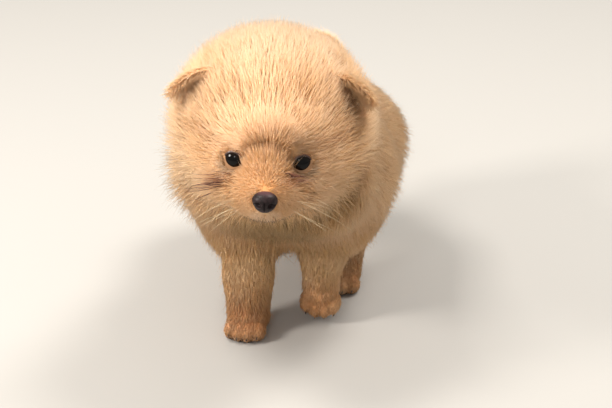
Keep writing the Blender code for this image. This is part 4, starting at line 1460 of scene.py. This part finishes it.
def build_streaks(flat_map, look):
    """Hair stuck together in dark, wet points under the eyes."""
    rng = np.random.default_rng(SEED + 2)
    places, ways, lengths = [], [], []
    for side, count, inner, spread, front, top, drop, length in STREAKS:
        for _ in range(count):
            along, a, b, c, d = rng.random(5)
            places.append((side * (inner + spread * along), front, top - drop * a - 0.001 * along))
            ways.append((side * (0.90 + 0.2 * b), 0.30, 0.42 * c - 0.50))
            lengths.append(length + 0.0055 * d)
    shape = {"lift": 0.52, "droop": 0.0, "width": STREAK_WIDTH}
    strands("tear_streaks", places, ways, lengths, flat_map, look, rng, **shape)


def build_claws(look):
    """Four short rounded claws on each paw."""
    made = []
    turn = Matrix.Rotation(math.radians(CLAW_PITCH), 4, "X")
    for number in range(4):
        for x, y, z in toe_spots():
            ends = {"radius1": CLAW_RADIUS, "radius2": CLAW_TIP}
            bpy.ops.mesh.primitive_cone_add(vertices=12, depth=CLAW_LENGTH, **ends)
            claw = bpy.context.object
            rounding = claw.modifiers.new("round", "SUBSURF")
            rounding.levels = 1
            apply_all(claw)
            spot = Matrix.Translation((x * 1.12, y - CLAW_AHEAD, z - CLAW_BELOW))
            claw.data.transform(paw_frame(number) @ spot @ turn)
            made.append(claw)
    claws = finish_mesh("claws", join(made), look)
    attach(claws, "root")


def build_pads(look):
    """The dark pads under each paw."""
    made = []
    for number in range(4):
        made.append(sphere(paw_frame(number) @ placed(*PALM), 20, 12))
        for x, y, _ in toe_spots():
            spot = placed((x, y - TOE_PAD_BACK, TOE_PAD_HEIGHT), TOE_PAD)
            made.append(sphere(paw_frame(number) @ spot, 16, 10))
    pads = finish_mesh("pads", join(made), look)
    points = read_points(pads.data)
    points[:, 2] = np.maximum(points[:, 2], PAD_FLOOR)
    pads.data.vertices.foreach_set("co", points.ravel())
    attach(pads, "root")


# Floor and lights: each with its place, what it points at, size, power and colour
FLOOR_SIZE = 8.0
FLOOR_TINT = (0.46, 0.45, 0.435, 1.0)
SKY_TINT = (1.0, 0.96, 0.89, 1.0)
SKY_STRENGTH = 0.55
WARM = (1.0, 0.95, 0.88)
LIGHTS = [
    ("key", (-0.50, -0.20, 1.25), (0.0, -0.03, 0.10), 0.40, 12.0, WARM),
    ("back", (0.45, 0.40, 1.20), (0.0, -0.03, 0.10), 0.40, 12.0, WARM),
    ("fill", (-0.95, -0.85, 0.80), (0.0, -0.03, 0.09), 0.35, 17.5, (1.0, 0.94, 0.86)),
    ("catch", (0.11, -1.28, 0.91), (0.0, -0.03, 0.12), 0.16, 2.0, (1.0, 1.0, 1.0)),
]


def build_camera():
    """A camera at the photo's angle, moved so that the head's middle lies on its pixel."""
    a, e = math.radians(AZIMUTH), math.radians(ELEVATION)
    back = Vector((math.sin(a) * math.cos(e), -math.cos(a) * math.cos(e), math.sin(e)))
    right = Vector((math.cos(a), math.sin(a), 0.0))
    up = back.cross(right)
    pixels = LENS / SENSOR * IMAGE[0]
    aside = (HEAD_PIXEL[0] - IMAGE[0] / 2) / pixels * DISTANCE
    above = (IMAGE[1] / 2 - HEAD_PIXEL[1]) / pixels * DISTANCE
    data = bpy.data.cameras.new("camera")
    data.lens = LENS
    data.sensor_width = SENSOR
    data.clip_start, data.clip_end = 0.05, 50.0
    camera = link("camera", data)
    camera.location = Vector(HEAD_SPOT) + back * DISTANCE - right * aside - up * above
    camera.rotation_euler = (-back).to_track_quat("-Z", "Y").to_euler()
    bpy.context.scene.camera = camera


def area_light(name, place, target, size, power, colour):
    """A square lamp that faces its target."""
    data = bpy.data.lights.new(name, "AREA")
    data.size, data.energy, data.color = size, power, colour
    made = link(name, data)
    made.location = place
    made.rotation_euler = (Vector(target) - Vector(place)).to_track_quat("-Z", "Y").to_euler()


def build_stage():
    """Plain pale floor and plain soft light."""
    bpy.ops.mesh.primitive_plane_add(size=FLOOR_SIZE)
    floor = bpy.context.object
    look, _, _ = new_material("floor", 0.9, Base_Color=FLOOR_TINT)
    finish_mesh("floor", floor, look)
    world = bpy.data.worlds.new("studio")
    world.use_nodes = True
    sky = world.node_tree.nodes["Background"]
    sky.inputs["Color"].default_value = SKY_TINT
    sky.inputs["Strength"].default_value = SKY_STRENGTH
    bpy.context.scene.world = world
    for light in LIGHTS:
        area_light(*light)
    bpy.context.scene.view_settings.view_transform = "Standard"


FLESH = ["head", "neck", "torso", "tail"]
for part in ("ear", "foreleg", "forepaw", "hindleg", "hindpaw"):
    FLESH += [part + "_left", part + "_right"]


def main():
    """Builds the stage, the skin, the coat and the small pieces."""
    build_camera()
    build_stage()
    skin = finish_mesh("skin", build_skin(), skin_material())
    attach(skin, "root")
    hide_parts(*FLESH)
    coarse = unwrap(skin)
    flat_map = FlatMap(coarse)
    hair = coat_material()
    grow_coat(skin, flat_map, hair)
    grow_lid_fur(flat_map, hair)
    for side, word in ((-1.0, "right"), (1.0, "left")):
        build_eye("eyeball_" + word, side, eye_material(side))
    build_lids(lid_material())
    build_nose(nose_material())
    build_whiskers(flat_map, plain_tint("whisker", WHISKER_TINT, 0.5))
    build_streaks(flat_map, plain_tint("wet_hair", WET_HAIR_TINT, 0.65))
    build_claws(plain_tint("claw", CLAW_TINT, 0.35))
    build_pads(plain_tint("pad", PAD_TINT, 0.6))
    bpy.data.objects.remove(coarse, do_unlink=True)


main()
